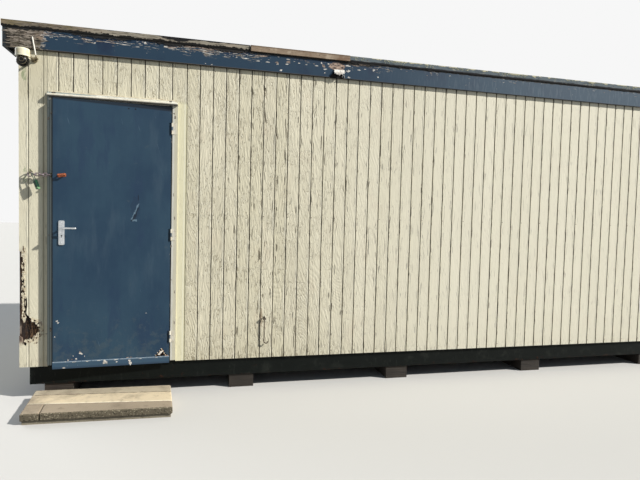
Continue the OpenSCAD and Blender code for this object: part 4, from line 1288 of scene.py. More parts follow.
# %% Finishes of small pieces
old_undercoat = plain_finish("old_undercoat", paint(236, 232, 224), paint(176, 172, 166))
pink_wood = plain_finish("pink_wood", paint(186, 168, 154), paint(104, 90, 82))
grey_ply = plain_finish("grey_ply", paint(160, 150, 138), paint(92, 86, 76))
dark_ply = plain_finish("dark_ply", paint(52, 47, 42), paint(22, 20, 20))
pale_ply = plain_finish("pale_ply", paint(184, 172, 160), paint(134, 124, 112))
print("five small finishes ready")

# %% [markdown]
# ## Torn paint on the front board
# The marks that show on the real board are set one by one. Each row says where the middle of
# a mark lies, along and up, and how far it reaches to either side, all in metres.

# %% Marks on the fascia
WHITE_MARKS = (
    (-2.84, 2.741, 0.023, 0.003), (-2.85, 2.714, 0.056, 0.003), (-2.75, 2.719, 0.027, 0.003),
    (-2.7, 2.723, 0.019, 0.003), (-2.82, 2.706, 0.006, 0.005), (-2.69, 2.723, 0.009, 0.008),
    (-2.53, 2.695, 0.007, 0.01), (-2.92, 2.63, 0.013, 0.007), (-2.89, 2.676, 0.007, 0.004),
    (-2.43, 2.74, 0.011, 0.008), (-2.56, 2.714, 0.028, 0.004), (-2.45, 2.713, 0.028, 0.004),
    (-2.36, 2.71, 0.035, 0.004), (-2.32, 2.706, 0.036, 0.004), (-2.17, 2.733, 0.009, 0.015),
    (-2.21, 2.726, 0.011, 0.003), (-2.02, 2.723, 0.013, 0.011), (-1.97, 2.712, 0.031, 0.005),
    (-1.86, 2.731, 0.026, 0.004), (-1.74, 2.726, 0.031, 0.004), (-1.69, 2.703, 0.042, 0.004),
    (-1.61, 2.724, 0.027, 0.004), (-1.68, 2.697, 0.023, 0.002), (-1.49, 2.725, 0.02, 0.003),
    (-1.4, 2.695, 0.033, 0.006), (-1.48, 2.695, 0.008, 0.004), (-1.67, 2.622, 0.007, 0.006),
    (-1.72, 2.624, 0.006, 0.005), (-1.31, 2.683, 0.019, 0.007), (-1.23, 2.684, 0.015, 0.006),
    (-1.15, 2.674, 0.01, 0.006), (-1.07, 2.682, 0.019, 0.007), (-1.06, 2.723, 0.016, 0.007),
    (-1.01, 2.71, 0.006, 0.004), (-0.97, 2.7, 0.011, 0.006), (-0.91, 2.694, 0.01, 0.005),
    (-0.82, 2.693, 0.014, 0.007), (-0.78, 2.72, 0.009, 0.012), (-0.75, 2.672, 0.014, 0.008),
    (-0.72, 2.718, 0.01, 0.008), (-1.12, 2.628, 0.011, 0.01), (-0.75, 2.64, 0.007, 0.007),
    (-0.54, 2.624, 0.011, 0.009), (-0.55, 2.72, 0.02, 0.011), (-0.55, 2.675, 0.018, 0.015),
    (-0.45, 2.694, 0.018, 0.005), (-0.4, 2.705, 0.009, 0.006), (-0.32, 2.705, 0.011, 0.016),
    (-0.28, 2.727, 0.007, 0.005), (-0.28, 2.649, 0.006, 0.01))
PINK_MARKS = (
    (-2.95, 2.742, 0.036, 0.005), (-2.92, 2.735, 0.043, 0.004), (-2.86, 2.727, 0.061, 0.005),
    (-2.91, 2.711, 0.04, 0.006), (-2.61, 2.742, 0.019, 0.006), (-2.59, 2.716, 0.031, 0.006),
    (-2.5, 2.711, 0.028, 0.006), (-2.39, 2.709, 0.028, 0.005), (-1.98, 2.722, 0.041, 0.01),
    (-1.86, 2.74, 0.039, 0.007), (-1.82, 2.739, 0.049, 0.007), (-1.76, 2.743, 0.038, 0.006),
    (-1.79, 2.726, 0.049, 0.005), (-1.7, 2.739, 0.046, 0.007), (-1.71, 2.716, 0.05, 0.008),
    (-1.63, 2.739, 0.041, 0.007), (-1.48, 2.738, 0.036, 0.011), (-1.26, 2.729, 0.061, 0.01),
    (-1.15, 2.687, 0.016, 0.016), (-1.06, 2.7, 0.018, 0.014), (-0.76, 2.697, 0.016, 0.019),
    (-0.48, 2.725, 0.035, 0.005), (-0.41, 2.739, 0.054, 0.008), (-0.65, 2.725, 0.05, 0.006),
    (-0.64, 2.709, 0.058, 0.006), (-0.66, 2.695, 0.045, 0.005), (-0.62, 2.684, 0.05, 0.005))
DARK_MARKS = (
    (-2.40, 2.728, 0.050, 0.010), (-2.33, 2.737, 0.060, 0.009), (-1.87, 2.735, 0.050, 0.008),
    (-1.56, 2.728, 0.060, 0.010), (-1.45, 2.733, 0.050, 0.010), (-1.30, 2.722, 0.050, 0.008),
    (-2.98, 2.735, 0.040, 0.010), (-2.73, 2.738, 0.040, 0.008), (-1.92, 2.718, 0.020, 0.008),
    (-2.5, 2.742, 0.06, 0.008), (-2.17, 2.737, 0.004, 0.014), (-2.01, 2.735, 0.013, 0.006),
    (-1.13, 2.723, 0.037, 0.012), (-0.51, 2.708, 0.026, 0.009), (-0.45, 2.717, 0.044, 0.008),
    (-2.02, 2.744, 0.085, 0.006), (-1.48, 2.745, 0.108, 0.006), (-0.64, 2.702, 0.05, 0.002),
    (-0.72, 2.712, 0.014, 0.012))
print(len(WHITE_MARKS + PINK_MARKS + DARK_MARKS), "marks read from the board")

# %% [markdown]
# A seeded scatter adds the crumbs of paint between the marks. `ZONES` says how many lie in
# each part of the board, and they gather about one height, just under the battens.

# %% Flakes on the fascia
FASCIA_FACE = -1.2405
PEEL_LINE, PEEL_SPREAD, PEEL_TOP = 2.722, 0.014, 2.747
ZONES = ((-2.90, -2.66, 40), (-2.62, -2.05, 60), (-2.0, -1.35, 120), (-1.35, -0.8, 12),
         (-0.55, 0.3, 36), (0.3, 3.0, 30))

random.seed(11)
crumbling = []
for start, end, count in ZONES:
    for _ in range(count):
        x = random.uniform(start, end)
        z = min(random.gauss(PEEL_LINE, PEEL_SPREAD), PEEL_TOP)
        crumbling.append((x, z, random.uniform(0.003, 0.016), random.uniform(0.001, 0.003)))
random.shuffle(crumbling)
third = len(crumbling) // 3
marks = (("undercoat", old_undercoat, WHITE_MARKS, crumbling[:third], 0.0012),
         ("bare_wood", pink_wood, PINK_MARKS, crumbling[third:2 * third], 0.0008),
         ("rot", dark_ply, DARK_MARKS, crumbling[2 * third:], 0.0005))
for name, finish, placed, scattered, film in marks:
    places = front_flakes(placed + tuple(scattered), FASCIA_FACE, 0.06)
    FLAKES.grow("fascia_" + name, places, finish, "cabin", "fascia_paint",
                Ragged=0.50, Thickness=film, Seed=5)

# %% [markdown]
# The left end has no paint. There the board's own layers curl apart, most of them close to
# the corner, and none may reach past the end of the board.

# %% Split layers at the left end
BOARD_END, RAGGED_REACH = -3.149, 1.1
layers_at = []
for _ in range(130):
    x, z = random.uniform(-3.10, -2.895), random.uniform(2.618, 2.746)
    if x > -2.93 and random.random() < 0.5:
        x -= 0.06
    wide, high = random.uniform(0.015, 0.055), random.uniform(0.0018, 0.0060)
    layers_at.append((max(x, wide * RAGGED_REACH + BOARD_END), z, wide, high))
for name, finish, part, film in (("grey", grey_ply, layers_at[::2], 0.0026),
                                 ("pale", pale_ply, layers_at[1::4], 0.0034),
                                 ("dark", dark_ply, layers_at[3::4], 0.0016)):
    places = front_flakes(part, FASCIA_FACE, 0.05)
    FLAKES.grow("split_layers_" + name, places, finish, "cabin", "raw_timber",
                Ragged=0.42, Lift=0.6, Thickness=film, Seed=9)

# %% [markdown]
# ## Skins and strips
# The ragged edge of the felt, the curled flap at the break in the board and the split sheet
# over the door are thin skins. Rows of points give their shape, and Solidify their thickness.


# %% A thin skin through rows of points
def skin(name, rows, material, body, slot, thick):
    """A thin sheet through rows that all have the same number of points."""
    count = len(rows[0])
    mesh = bpy.data.meshes.new(name)
    faces = [(r * count + c, r * count + c + 1, (r + 1) * count + c + 1, (r + 1) * count + c)
             for r in range(len(rows) - 1) for c in range(count - 1)]
    mesh.from_pydata([p for row in rows for p in row], [], faces)
    piece = put(name, mesh, material)
    wall = piece.modifiers.new("thickness", "SOLIDIFY")
    wall.thickness = thick
    wall.offset = 0.0
    return settle(piece, body, slot)


def wave(at, scale, seed=0.0):
    """A repeatable wander between about -1 and 1."""
    return noise.fractal(Vector((at * scale, seed, 0.5)), 0.8, 2.0, 4)


# %% [markdown]
# The felt was folded down under the battens and cut off roughly. Its black edge shows as a line of
# changing depth all along the front, and also stands in for the shade under the battens, so it
# hangs deepest where that dark line is widest.

# %% Felt edge under the battens
BATTEN_FOOT, FELT_FACE = 2.757, 1.2432
DEEP_AT = ((-3.02, 0.16, 0.014), (-2.48, 0.22, 0.022), (-1.99, 0.13, 0.020),
           (-1.50, 0.17, 0.023), (-0.95, 0.43, 0.014), (-0.42, 0.26, 0.011))
felt_edge_and_shade = plain_finish("felt_edge_and_shade", paint(30, 30, 31), paint(14, 14, 14), 60.0, 0.8)


def felt_drop(x):
    drop = 0.005 + 0.004 * wave(x, 9.0, 1.0) + 0.005 * wave(x, 38.0, 2.0)
    for middle, reach, depth in DEEP_AT:
        share = max(0.0, 1 - abs(x - middle) / reach)
        drop += depth * share ** 0.5 * (0.8 + 0.6 * wave(x, 30.0, 3.0))
    return max(drop, 0.0012)


for side, name in ((-1, "felt_edge_front"), (1, "felt_edge_back")):
    rows = [[], [], []]
    for step in range(1034):
        x = -3.10 + step * 0.006
        drop = felt_drop(x if side < 0 else -x * 0.7)
        lift = 0.0016 * wave(x, 24.0, 4.0)
        profile = ((0.0, 0.0), (drop * 0.5, 0.0008), (drop, 0.0014 + max(lift, 0.0)))
        for row, (down, out) in zip(rows, profile):
            row.append((x, side * (FELT_FACE + out), BATTEN_FOOT - down))
    skin(name, rows, felt_edge_and_shade, "cabin", "felt", 0.0016)

# %% [markdown]
# Two fifths of the way along, the board has burst. Behind the burst is a black skin, for dark torn
# wood and the shade in the hollow, widest a third of the way up and lying behind the board's face.

# %% The hollow in the fascia
hollow_shade_black = plain_finish("hollow_shade_black", paint(26, 24, 24), paint(12, 12, 12), 40.0, 0.9)
HOLLOW_X, HOLLOW_BACK, HOLLOW_FOOT, HOLLOW_HALF = -0.648, -1.2285, 2.6085, 0.062
rows = []
for r in range(7):
    half = HOLLOW_HALF * math.sin(math.pi * min(1.0, 0.30 + r / 8.5)) + 0.004
    rows.append([(HOLLOW_X + half * (c / 5 - 1) + 0.003 * wave(r * 7 + c, 0.9, 2.0),
                  HOLLOW_BACK + 0.0015 * wave(r + c * 5, 0.7), HOLLOW_FOOT + r * 0.0112)
                 for c in range(11)])
skin("burst_hollow", rows, hollow_shade_black, "cabin", "fascia_paint", 0.002)

# %% [markdown]
# One white flap of the top layer hangs over the hollow. Its lower edge is ragged, and the
# further down a row lies, the more it has curled out. A second, small curl is rolled up at
# the foot, and bare slivers of wood lie above.

# %% The flap, the curl and the slivers
BURST_X, FLAP_TOP, FLAP_WIDE, FLAP_FACE = -0.627, 2.678, 0.092, -1.2425
flap_white = plain_finish("flap_white", paint(244, 240, 232), paint(206, 198, 188), 70.0)
rows = []
for r in range(9):
    share = r / 8
    row = []
    for c in range(13):
        along = c / 12
        drop = 0.050 + 0.016 * wave(c, 0.75, 5.0) - 0.034 * abs(along - 0.40)
        curl = share * 1.9
        x = BURST_X - 0.046 + FLAP_WIDE * along + 0.012 * wave(r, 0.8, 1.0) * (0.3 + share)
        y = FLAP_FACE - 0.020 * math.sin(curl) - 0.003 * wave(c + r * 3, 0.5, 7.0) * share
        row.append((x, y, FLAP_TOP - drop * share))
    rows.append(row)
skin("burst_flap", rows, flap_white, "cabin", "fascia_paint", 0.0018)

CURL_X, CURL_FACE, CURL_Z, CURL_HALF = -0.590, -1.243, 2.622, (0.0095, 0.013)
rows = []
for r in range(12):
    angle = math.radians(-60 + r * 24)
    x, z = CURL_X + CURL_HALF[0] * math.cos(angle), CURL_Z + CURL_HALF[1] * math.sin(angle)
    rows.append([(x, CURL_FACE - out, z) for out in (0.0, 0.004, 0.008)])
skin("burst_curl", rows, flap_white, "cabin", "fascia_paint", 0.0016)

SLIVERS = ((-0.70, 2.716, 0.046), (-0.66, 2.711, 0.062), (-0.62, 2.704, 0.066),
           (-0.67, 2.697, 0.060), (-0.63, 2.689, 0.052), (-0.60, 2.682, 0.040))
slivers = [((x, -1.2412, z), (0.0032, 0.0022, length * 2), (0.0, math.pi / 2, 0.03 * i))
           for i, (x, z, length) in enumerate(SLIVERS)]
SPLINTERS.grow("burst_slivers", slivers, pink_wood, "cabin", "raw_timber", Ragged=0.3, Seed=2)

# %% [markdown]
# ## Rot at the corner
# At the foot of the left corner the sheet has rotted right through. Brown fibres of the post
# behind it hang in the hole, some with their thick end up and some with it down.

# %% Splinters in the corner hole
random.seed(23)
fibres = []
for _ in range(44):
    x = random.uniform(-3.010, -2.915)
    z = random.uniform(0.445, 0.60)
    length = random.uniform(0.02, 0.085)
    lean = random.uniform(-0.22, 0.22)
    place = (x, random.uniform(-1.214, -1.203), z)
    size = (random.uniform(0.0012, 0.0034), random.uniform(0.001, 0.0022), length)
    tip = random.uniform(-0.08, 0.08)
    over = math.pi if random.random() < 0.5 else 0.0
    fibres.append((place, size, (tip, lean + over, 0.0)))
brown_fibre = plain_finish("brown_fibre", paint(104, 80, 58), paint(44, 30, 22), 90.0, 0.9)
SPLINTERS.grow("corner_splinters", fibres, brown_fibre, "cabin", "raw_timber",
               Ragged=0.25, Seed=4)

# %% [markdown]
# Curls of cream paint stand off round the hole's edge and up the corner above it. Each third
# curl has a darker torn patch of wood under it.

# %% Curls of paint at the corner
SHEET_FACE, BARE_FACE, CORNER_EDGE = -1.2192, -1.2190, -3.028
HOLE_RIM = ((-2.960, 0.602), (-2.935, 0.588), (-2.914, 0.565), (-2.906, 0.535), (-2.911, 0.507),
            (-2.925, 0.487), (-2.948, 0.470), (-2.975, 0.458), (-3.000, 0.452))
curls = []
for x, z in HOLE_RIM:
    for _ in range(4):
        curls.append(mark(
            x + random.uniform(-0.008, 0.008), SHEET_FACE, z + random.uniform(-0.008, 0.008),
            random.uniform(0.003, 0.009), random.uniform(0.004, 0.014),
            tip=random.uniform(-0.3, 0.3), lean=random.uniform(-0.5, 0.5)))
for _ in range(90):
    z = random.uniform(0.60, 1.16)
    curls.append(mark(
        CORNER_EDGE + random.uniform(0.0, 0.024), SHEET_FACE, z,
        random.uniform(0.002, 0.006), random.uniform(0.006, 0.022), random.uniform(-0.2, 0.2)))
cream_curl = plain_finish("cream_curl", paint(236, 228, 204), paint(198, 184, 156))
FLAKES.grow("corner_curls", curls, cream_curl, "cabin", "cladding",
            Ragged=0.4, Lift=1.0, Thickness=0.0012, Seed=6)
torn_wood = [((x - 0.006, BARE_FACE, z - 0.004), (wide * 1.1, high * 1.2, flat), turned)
             for (x, _, z), (wide, high, flat), turned in curls[::3]]
FLAKES.grow("corner_torn_wood", torn_wood, brown_fibre, "cabin", "raw_timber",
            Ragged=0.4, Thickness=0.0007, Seed=8)

# %% [markdown]
# ## Chips on the door, its bar and its frame
# The chips on the leaf and on its weather bar were placed one by one. They are told as a
# distance along the leaf from the hinge pin, a height and two half sizes, so that they swing
# with it. `BREAK` runs round the broken corner by the hinge.

# %% Marks on the door
LEAF_CHIPS = ((-0.648, 0.355, 0.012, 0.009), (-0.679, 0.311, 0.008, 0.007),
              (-0.734, 0.306, 0.006, 0.005), (-0.813, 0.607, 0.008, 0.007),
              (-0.804, 0.594, 0.009, 0.007), (-0.640, 0.346, 0.006, 0.005),
              (-0.18, 0.648, 0.004, 0.004), (-0.700, 0.335, 0.004, 0.004),
              (-0.62, 0.33, 0.003, 0.006), (-0.826, 0.487, 0.004, 0.005))
BAR_CHIPS = ((-0.472, 0.273, 0.020, 0.013), (-0.294, 0.260, 0.013, 0.019),
             (-0.480, 0.285, 0.012, 0.009), (-0.298, 0.279, 0.010, 0.010),
             (-0.761, 0.250, 0.012, 0.006), (-0.391, 0.274, 0.007, 0.006),
             (-0.697, 0.291, 0.010, 0.004), (-0.60, 0.290, 0.012, 0.003),
             (-0.40, 0.291, 0.016, 0.003), (-0.69, 0.290, 0.012, 0.003),
             (-0.22, 0.289, 0.014, 0.002), (-0.10, 0.290, 0.010, 0.002),
             (-0.52, 0.291, 0.012, 0.003))
RUSTY_CHIPS = ((-0.318, 0.302, 0.012, 0.003), (-0.292, 0.303, 0.008, 0.005),
               (-0.020, 0.298, 0.009, 0.011), (-0.708, 0.310, 0.006, 0.004),
               (-0.652, 0.362, 0.005, 0.006), (-0.735, 0.302, 0.005, 0.005))
BREAK = ((-0.118, 0.291), (-0.103, 0.307), (-0.088, 0.325), (-0.074, 0.341), (-0.060, 0.355),
         (-0.050, 0.340), (-0.040, 0.322), (-0.029, 0.305), (-0.018, 0.290))
print(len(LEAF_CHIPS + BAR_CHIPS + RUSTY_CHIPS), "chips read from the door")

# %% [markdown]
# At the leaf's lower corner by the hinge the skin of the door is broken. Undercoat and tan
# board show along the torn edges, and one white curl stands off.

# %% Door chips
BAR_PROUD = 0.0055             # how far the weather bar stands out from the leaf
LEAF_SHARE, BAR_SHARE = (0.8, 0.75), (0.75, 0.7)


def leaf_flake(u, z, wide, high, proud=0.0, lean=0.0, share=(1.0, 1.0)):
    """A flake on the leaf, u from its pin. share makes it smaller than it was measured."""
    size = (wide * share[0], high * share[1], FLAT)
    return tuple(on_leaf(u, z, proud)), size, (FACING, lean, AJAR)


random.seed(31)
chips = [leaf_flake(*chip, share=LEAF_SHARE) for chip in LEAF_CHIPS]
chips += [leaf_flake(*chip, proud=BAR_PROUD, share=BAR_SHARE) for chip in BAR_CHIPS]
torn = []
for u, z in BREAK:
    chips.append(leaf_flake(u - 0.003, z + 0.002, 0.005, 0.003, 0.0004, 0.8))
    torn.append(leaf_flake(u, z - 0.003, 0.006, 0.004, 0.0002, -0.8))
FLAKES.grow("leaf_chips", chips, old_undercoat, "door", "door_paint",
            Ragged=0.6, Thickness=0.0008, Seed=3)
tan_board = plain_finish("tan_board", paint(214, 182, 140), paint(156, 118, 82))
FLAKES.grow("leaf_torn_board", torn, tan_board, "door", "door_paint",
            Ragged=0.4, Thickness=0.0006, Seed=7)
FLAKES.grow("leaf_pink_chips", [leaf_flake(*chip) for chip in RUSTY_CHIPS], pink_wood, "door",
            "door_paint", Ragged=0.6, Thickness=0.0006, Seed=17)

rows = [[tuple(on_leaf(-0.066 - 0.024 * down + 0.012 * over, 0.346 - 0.030 * down - 0.006 * over,
                       0.002 + 0.011 * math.cos(over * 1.3))) for down in (0, 0.3, 0.6, 1.0)]
        for over in (0, 0.3, 0.6, 0.9, 1.2)]
skin("leaf_curl", rows, flap_white, "door", "door_paint", 0.0012)

# %% [markdown]
# Grey chips lie at random on both posts of the frame, and two bright ones at the top of the
# left post.

# %% Frame chips
CHIP_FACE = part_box("door_jambs")[0].y + 0.0002
frame_marks = []
for _ in range(22):
    x = random.choice((random.uniform(-2.853, -2.802), random.uniform(-1.977, -1.927)))
    frame_marks.append(mark(
        x, CHIP_FACE, random.uniform(0.30, 2.27),
        random.uniform(0.002, 0.007), random.uniform(0.003, 0.014), random.uniform(-0.2, 0.2)))
FLAKES.grow("frame_chips", frame_marks, grey_ply, "cabin", "frame_paint",
            Ragged=0.55, Thickness=0.0005, Seed=12)
bright = [mark(-2.838, CHIP_FACE, 2.262, 0.008, 0.008, 0.2),
          mark(-2.815, CHIP_FACE, 2.236, 0.004, 0.007)]
FLAKES.grow("frame_white", bright, old_undercoat, "cabin", "frame_paint",
            Ragged=0.4, Thickness=0.0005, Seed=13)

# %% [markdown]
# The sheet over the door has split along its lower edge. The split is a thin ragged lip just
# above the drip strip, bent out at its foot.

# %% The split edge over the door
DRIP_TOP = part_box("drip_strip")[1].z
rows = [[], [], []]
for step in range(94):
    x = -2.850 + step * 0.00985
    drop = 0.012 + 0.007 * wave(x, 14.0, 3.0) + 0.003 * wave(x, 70.0, 5.0)
    profile = ((0.020, 0.0), (0.010, 0.001), (0.018 - drop, 0.003 + 0.002 * wave(x, 40.0, 6.0)))
    for row, (up, out) in zip(rows, profile):
        row.append((x, -HALF_W - 0.0006 - out, DRIP_TOP + up))
skin("split_edge_over_door", rows, cream_curl, "cabin", "cladding", 0.0012)

# %% [markdown]
# ## Nails, clouts and laps
# Nails hold the sheets of plywood along three heights. A nail is left out where the doorway
# lies.

# %% Nail rows
nail_steel = plain_finish("nail_rust", paint(120, 96, 76), paint(70, 50, 38), 300.0, 0.6)
OUTWARD = {"front": (FACING, 0.0, 0.0), "back": (-FACING, 0.0, 0.0),
           "left": (0.0, -FACING, 0.0), "right": (0.0, FACING, 0.0)}
NAIL = (0.0032, 0.0032, 0.0012)
NAIL_HEIGHTS, NAIL_PROUD = (0.285, 1.43, 2.575), 0.0004
FIRST_NAIL, LAST_NAIL, FIRST_END_NAIL = -2.862, 3.03, -1.12
DOORWAY = (-2.87, -1.91)


def wall_nails():
    """Nail heads along the four walls, as far apart as every second groove."""
    places = []
    for z in NAIL_HEIGHTS:
        for n in range(30):
            x = FIRST_NAIL + n * PITCH * 2
            if x > LAST_NAIL:
                break
            if not DOORWAY[0] < x < DOORWAY[1]:
                places.append(((x, -HALF_W - NAIL_PROUD, z), NAIL, OUTWARD["front"]))
            places.append(((x, HALF_W + NAIL_PROUD, z), NAIL, OUTWARD["back"]))
        for n in range(12):
            y = FIRST_END_NAIL + n * PITCH * 2
            places.append(((-HALF_L - NAIL_PROUD, y, z), NAIL, OUTWARD["left"]))
            places.append(((HALF_L + NAIL_PROUD, y, z), NAIL, OUTWARD["right"]))
    return places


HEADS.grow("cladding_nails", wall_nails(), nail_steel, "cabin", "raw_timber",
           Ragged=0.0, Seed=1)

# %% [markdown]
# The felt was laid across the roof in strips that lap over each other. Each lap is a low
# ragged step, held by a row of clouts.

# %% Felt laps and clouts
LAP_START, LAP_WIDTH, FELT_TOP = -3.04, 0.075, 2.756
CLOUT, CLOUT_BACK, CLOUT_EVERY = (0.0055, 0.0055, 0.0014), 0.022, 0.0505
UPRIGHT = (0.0, 0.0, 0.0)
random.seed(41)
clouts = []
for number in range(6):
    at = LAP_START + LAP_EVERY * (number + 1)
    rows = [[], [], []]
    for step in range(60):
        y = -1.19 + step * 0.04034
        edge = 0.004 * wave(y, 3.0, number) + 0.0015 * wave(y, 25.0, number + 9.0)
        profile = ((at - LAP_WIDTH, 0.0008), (at - 0.006, 0.0030), (at + edge, 0.0012))
        for row, (x, up) in zip(rows, profile):
            row.append((x, y, FELT_TOP + up))
    skin("felt_lap_%d" % (number + 1), rows, Look.made["roofing_felt"], "cabin", "felt", 0.0016)
    for n in range(46):
        x = at - CLOUT_BACK + random.uniform(-0.004, 0.004)
        clouts.append(((x, -1.15 + n * CLOUT_EVERY, FELT_TOP + 0.0042), CLOUT, UPRIGHT))
galvanised_head = plain_finish("clout_heads", paint(150, 150, 146), paint(98, 92, 84), 300.0, 0.45)
HEADS.grow("felt_clouts", clouts, galvanised_head, "cabin", "felt", Ragged=0.0, Seed=1)

# %% [markdown]
# The battens were nailed down along their faces. The middle length stands out further than
# the other two, and lichen crumbs cover the painted one on the right.

# %% Batten nails and lichen
BATTEN_FACE, MIDDLE_BATTEN, MIDDLE_PROUD = -1.2482, (-1.37, -0.536), 0.008
BATTEN_NAIL, NAIL_LINE = (0.004, 0.004, 0.0015), 2.779


def batten_nail(x):
    out = MIDDLE_PROUD if MIDDLE_BATTEN[0] < x < MIDDLE_BATTEN[1] else 0.0
    return (x, BATTEN_FACE - out, NAIL_LINE), BATTEN_NAIL, OUTWARD["front"]


HEADS.grow("batten_nails", [batten_nail(-2.9 + 0.42 * n) for n in range(15)], nail_steel,
           "cabin", "raw_timber", Ragged=0.0, Seed=2)

LICHEN_FACE, LICHEN_TOP, LICHEN_FOOT, CRUMB_COUNT = -1.2478, 2.7955, 2.760, 620
random.seed(43)
crumbs = []
while len(crumbs) < CRUMB_COUNT:
    x, z = random.uniform(-0.52, 3.09), LICHEN_TOP - abs(random.gauss(0.0, 0.012))
    if z < LICHEN_FOOT or noise.noise(Vector((x * 5.0, 0.0, z * 20.0))) < -0.05:
        continue
    size = random.uniform(0.0012, 0.0036)
    crumbs.append(((x, LICHEN_FACE, z), (size * 1.4, size * 0.8, size), UPRIGHT))
lichen = plain_finish("lichen", paint(206, 204, 180), paint(150, 152, 118), 200.0, 0.9)
CRUMBS.grow("batten_lichen", crumbs, lichen, "cabin", "lichen_batten",
            Ragged=0.35, Lift=0.35, Seed=3)

# %% [markdown]
# ## Plates with softened edges
# The lever's plates have small radii that a bevel gives best. The copy of the solid's mesh is
# merged first, because a solid's mesh is loose triangles.


# %% Copies of solids with softened edges
def merged_copy(node, name, material=None):
    mesh = nodes[node].data.copy()
    mesh.materials.clear()
    form = bmesh.new()
    form.from_mesh(mesh)
    bmesh.ops.remove_doubles(form, verts=form.verts, dist=0.00002)
    bmesh.ops.dissolve_limit(form, angle_limit=0.02, verts=form.verts, edges=form.edges)
    bmesh.ops.recalc_face_normals(form, faces=form.faces)
    form.to_mesh(mesh)
    form.free()
    return put(name, mesh, material)


def softened(node, name, material, body, slot, width, segments=2):
    piece = merged_copy(node, name, material)
    edge = piece.modifiers.new("edge", "BEVEL")
    edge.width = width
    edge.segments = segments
    edge.limit_method = "ANGLE"
    edge.angle_limit = math.radians(40)
    return settle(piece, body, slot, node)


softened("handle_plates", "handle_plates_soft", satin, "door", "handle_metal", 0.0012)

# %% [markdown]
# Two screws hold the outer plate. How far it stands in front of the leaf is found in steps
# of half a millimetre.

# %% Screws of the plate
PLATE_U, PLATE_Z = -0.779, 1.30
SCREW, SCREW_HEIGHTS = (0.0034, 0.0034, 0.0010), (1.196, 1.348)
plate_front = min((v.co for v in nodes["handle_plates"].data.vertices), key=lambda c: c.y)
proud = 0.0
for step in range(60):
    if on_leaf(PLATE_U, PLATE_Z, proud).y < plate_front.y:
        break
    proud += 0.0005
print("the plate stands", round(proud, 4), "m in front of the leaf")
screws = [(tuple(on_leaf(PLATE_U, z, proud - 0.0002)), SCREW, (FACING, 0.0, AJAR))
          for z in SCREW_HEIGHTS]
HEADS.grow("plate_screws", screws, satin, "door", "handle_metal", Ragged=0.0, Seed=1)

# %% [markdown]
# ## The doorstep's stones
# Old kerbs have rubbed edges and broken corners. All the stones are one mesh, so they are
# parted first. How much a place wears depends on how near the doorstep's outline it lies.


# %% Stones apart, and the doorstep's outline
def loose_parts(mesh):
    """Each loose part of a mesh in turn."""
    form = bmesh.new()
    form.from_mesh(mesh)
    form.verts.ensure_lookup_table()
    seen, groups = set(), []
    for vert in form.verts:
        if vert.index in seen:
            continue
        group, ahead = set(), [vert]
        while ahead:
            one = ahead.pop()
            if one.index not in group:
                group.add(one.index)
                ahead += [edge.other_vert(one) for edge in one.link_edges]
        seen |= group
        groups.append(group)
    for group in groups:
        part = form.copy()
        part.verts.ensure_lookup_table()
        others = [v for v in part.verts if v.index not in group]
        bmesh.ops.delete(part, geom=others, context="VERTS")
        yield part
        part.free()
    form.free()


STEP_OUTLINE = ((-2.933, -1.237), (-1.954, -1.271), (-1.909, -1.739), (-2.888, -1.705))


def from_outline(co):
    """How far a point lies from the nearest outer edge of the doorstep."""
    gaps = []
    for (ax, ay), (bx, by) in zip(STEP_OUTLINE, STEP_OUTLINE[1:] + STEP_OUTLINE[:1]):
        cross = (bx - ax) * (co.y - ay) - (by - ay) * (co.x - ax)
        gaps.append(abs(cross) / math.hypot(bx - ax, by - ay))
    return min(gaps)


print("the outline has", len(STEP_OUTLINE), "corners")

# %% [markdown]
# Each stone is remeshed into small even faces, and a repeatable wander pushes its skin
# inwards. It goes furthest where the skin slants, which is at an edge or a corner, and only a
# quarter as far inside the doorstep's outline.

# %% Worn stones
GRAIN, RUB, ROUGHEN, BREAK_OFF, DEEPEST = 0.0055, 0.0077, 0.0012, 0.05, 0.012
EXPOSED_WITHIN, HIDDEN_SHARE = 0.02, 0.25


def worn_place(co, out, number):
    """Where a point of a stone's skin ends up. out is the way it faces."""
    slant = 1 - max(abs(out.x), abs(out.y), abs(out.z))
    rough = 0.5 + 0.5 * noise.fractal(co * 55.0 + Vector((number, 0, 0)), 0.7, 2.0, 3)
    broken = max(0.0, noise.noise(co * 22.0 + Vector((0, number * 3, 7))) - 0.18)
    inward = ROUGHEN * rough + slant * RUB * rough + broken * slant * BREAK_OFF
    exposed = 1.0 if min(co.z, from_outline(co)) < EXPOSED_WITHIN else HIDDEN_SHARE
    return co - out * min(inward * exposed, DEEPEST)


def worn_stones(node, name, material, slot):
    source = merged_copy(node, name + "_source")
    whole = bmesh.new()
    for number, part in enumerate(loose_parts(source.data)):
        mesh = bpy.data.meshes.new(name)
        part.to_mesh(mesh)
        stone_piece = put(name, mesh)
        fine = stone_piece.modifiers.new("fine", "REMESH")
        fine.mode, fine.voxel_size = "VOXEL", GRAIN
        even = stone_piece.modifiers.new("even", "SMOOTH")
        even.factor, even.iterations = 0.5, 3
        view = bpy.context.evaluated_depsgraph_get()
        dense = bpy.data.meshes.new_from_object(stone_piece.evaluated_get(view))
        facing = [normal.vector.copy() for normal in dense.vertex_normals]
        placed = []
        for vert, out in zip(dense.vertices, facing):
            placed.extend(worn_place(vert.co, out, number))
        dense.vertices.foreach_set("co", placed)
        whole.from_mesh(dense)
        bpy.data.objects.remove(stone_piece)
    bpy.data.objects.remove(source)
    mesh = bpy.data.meshes.new(name)
    whole.to_mesh(mesh)
    whole.free()
    return settle(put(name, mesh, material), "cabin", slot, node)


worn_stones("doorstep_kerbs", "worn_kerbs", kerb_finish, "kerb_concrete")

# %% [markdown]
# ## Camera parts
# The black ball carries its lens behind three rings with one axis, the cap has a seam where
# its two halves meet, and a small white joint links it to the arm.


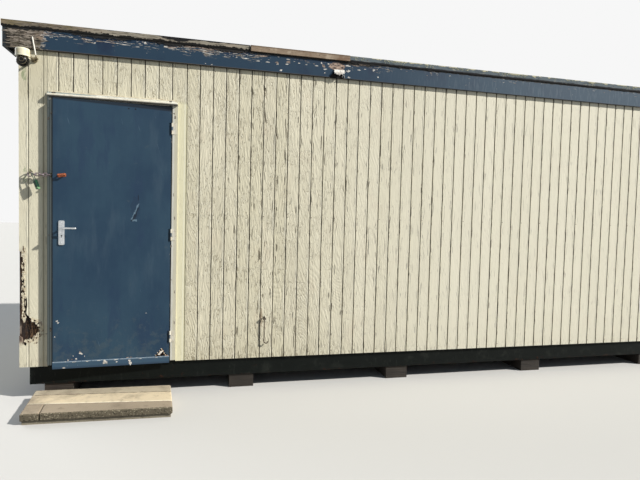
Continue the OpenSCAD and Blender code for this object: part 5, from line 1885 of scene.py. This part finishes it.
# %% A ring
def ring(name, centre, axis, radius, thick, material, slot, around=36, section=8):
    """A round bar bent into a ring."""
    form = bmesh.new()
    turned = Vector(axis).to_track_quat("Z", "Y")
    rims = []
    for a in range(around):
        angle = 2 * math.pi * a / around
        rim = []
        for b in range(section):
            bent = 2 * math.pi * b / section
            reach = radius + thick * math.cos(bent)
            at = Vector((reach * math.cos(angle), reach * math.sin(angle), thick * math.sin(bent)))
            rim.append(form.verts.new(turned @ at + Vector(centre)))
        rims.append(rim)
    for rim, after in zip(rims, rims[1:] + rims[:1]):
        for b in range(section):
            c = (b + 1) % section
            form.faces.new((rim[b], after[b], after[c], rim[c]))
    bmesh.ops.recalc_face_normals(form, faces=form.faces)
    for face in form.faces:
        face.smooth = True
    mesh = bpy.data.meshes.new(name)
    form.to_mesh(mesh)
    form.free()
    return settle(put(name, mesh, material), "cabin", slot)


cap_low, cap_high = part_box("camera_cap")
cap_middle = (cap_low + cap_high) / 2
print("the cap's middle is at", [round(value, 3) for value in cap_middle])

# %% [markdown]
# The rings are told by their radius, how far out they lie from the ball's middle along the
# lens, and how thick their bar is.

# %% Rings and the joint
BALL_RADIUS, LENS_TURN, SEAM_UP = 0.042, math.radians(8), 0.011
dark_plastic = plain_finish("dark_plastic", paint(30, 30, 31), paint(16, 16, 17), 200.0, 0.4)
seam_finish = plain_finish("cap_seam", paint(170, 158, 124), paint(120, 108, 84), 200.0, 0.7)
ring("camera_cap_seam", (cap_middle.x, cap_middle.y, cap_low.z + SEAM_UP), (0, 0, 1),
     (cap_high.x - cap_low.x) / 2 - 0.0006, 0.0009, seam_finish, "camera_plastic", 48, 6)
ball = Vector((cap_middle.x, cap_middle.y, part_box("camera_ball")[0].z + BALL_RADIUS))
LENS_AXIS = Vector((math.sin(LENS_TURN), -math.cos(LENS_TURN), 0.0))
for name, radius, out, bar, finish in (("lens_rim", 0.0195, 0.0418, 0.0010, dark_plastic),
                                       ("lens_ring", 0.0290, 0.0304, 0.0008, seam_finish),
                                       ("lens_eye", 0.0148, 0.0420, 0.0007, seam_finish)):
    ring("camera_" + name, ball + LENS_AXIS * out, LENS_AXIS, radius, bar, finish, "camera_glass")
joint = ((-2.9385, -1.342, 2.5105), (0.0075, 0.006, 0.006), UPRIGHT)
CRUMBS.grow("camera_joint", [joint], cream_plastic, "cabin", "camera_plastic",
            Ragged=0.05, Seed=1)

# %% [markdown]
# ## Finish

# %% The end
print("done")
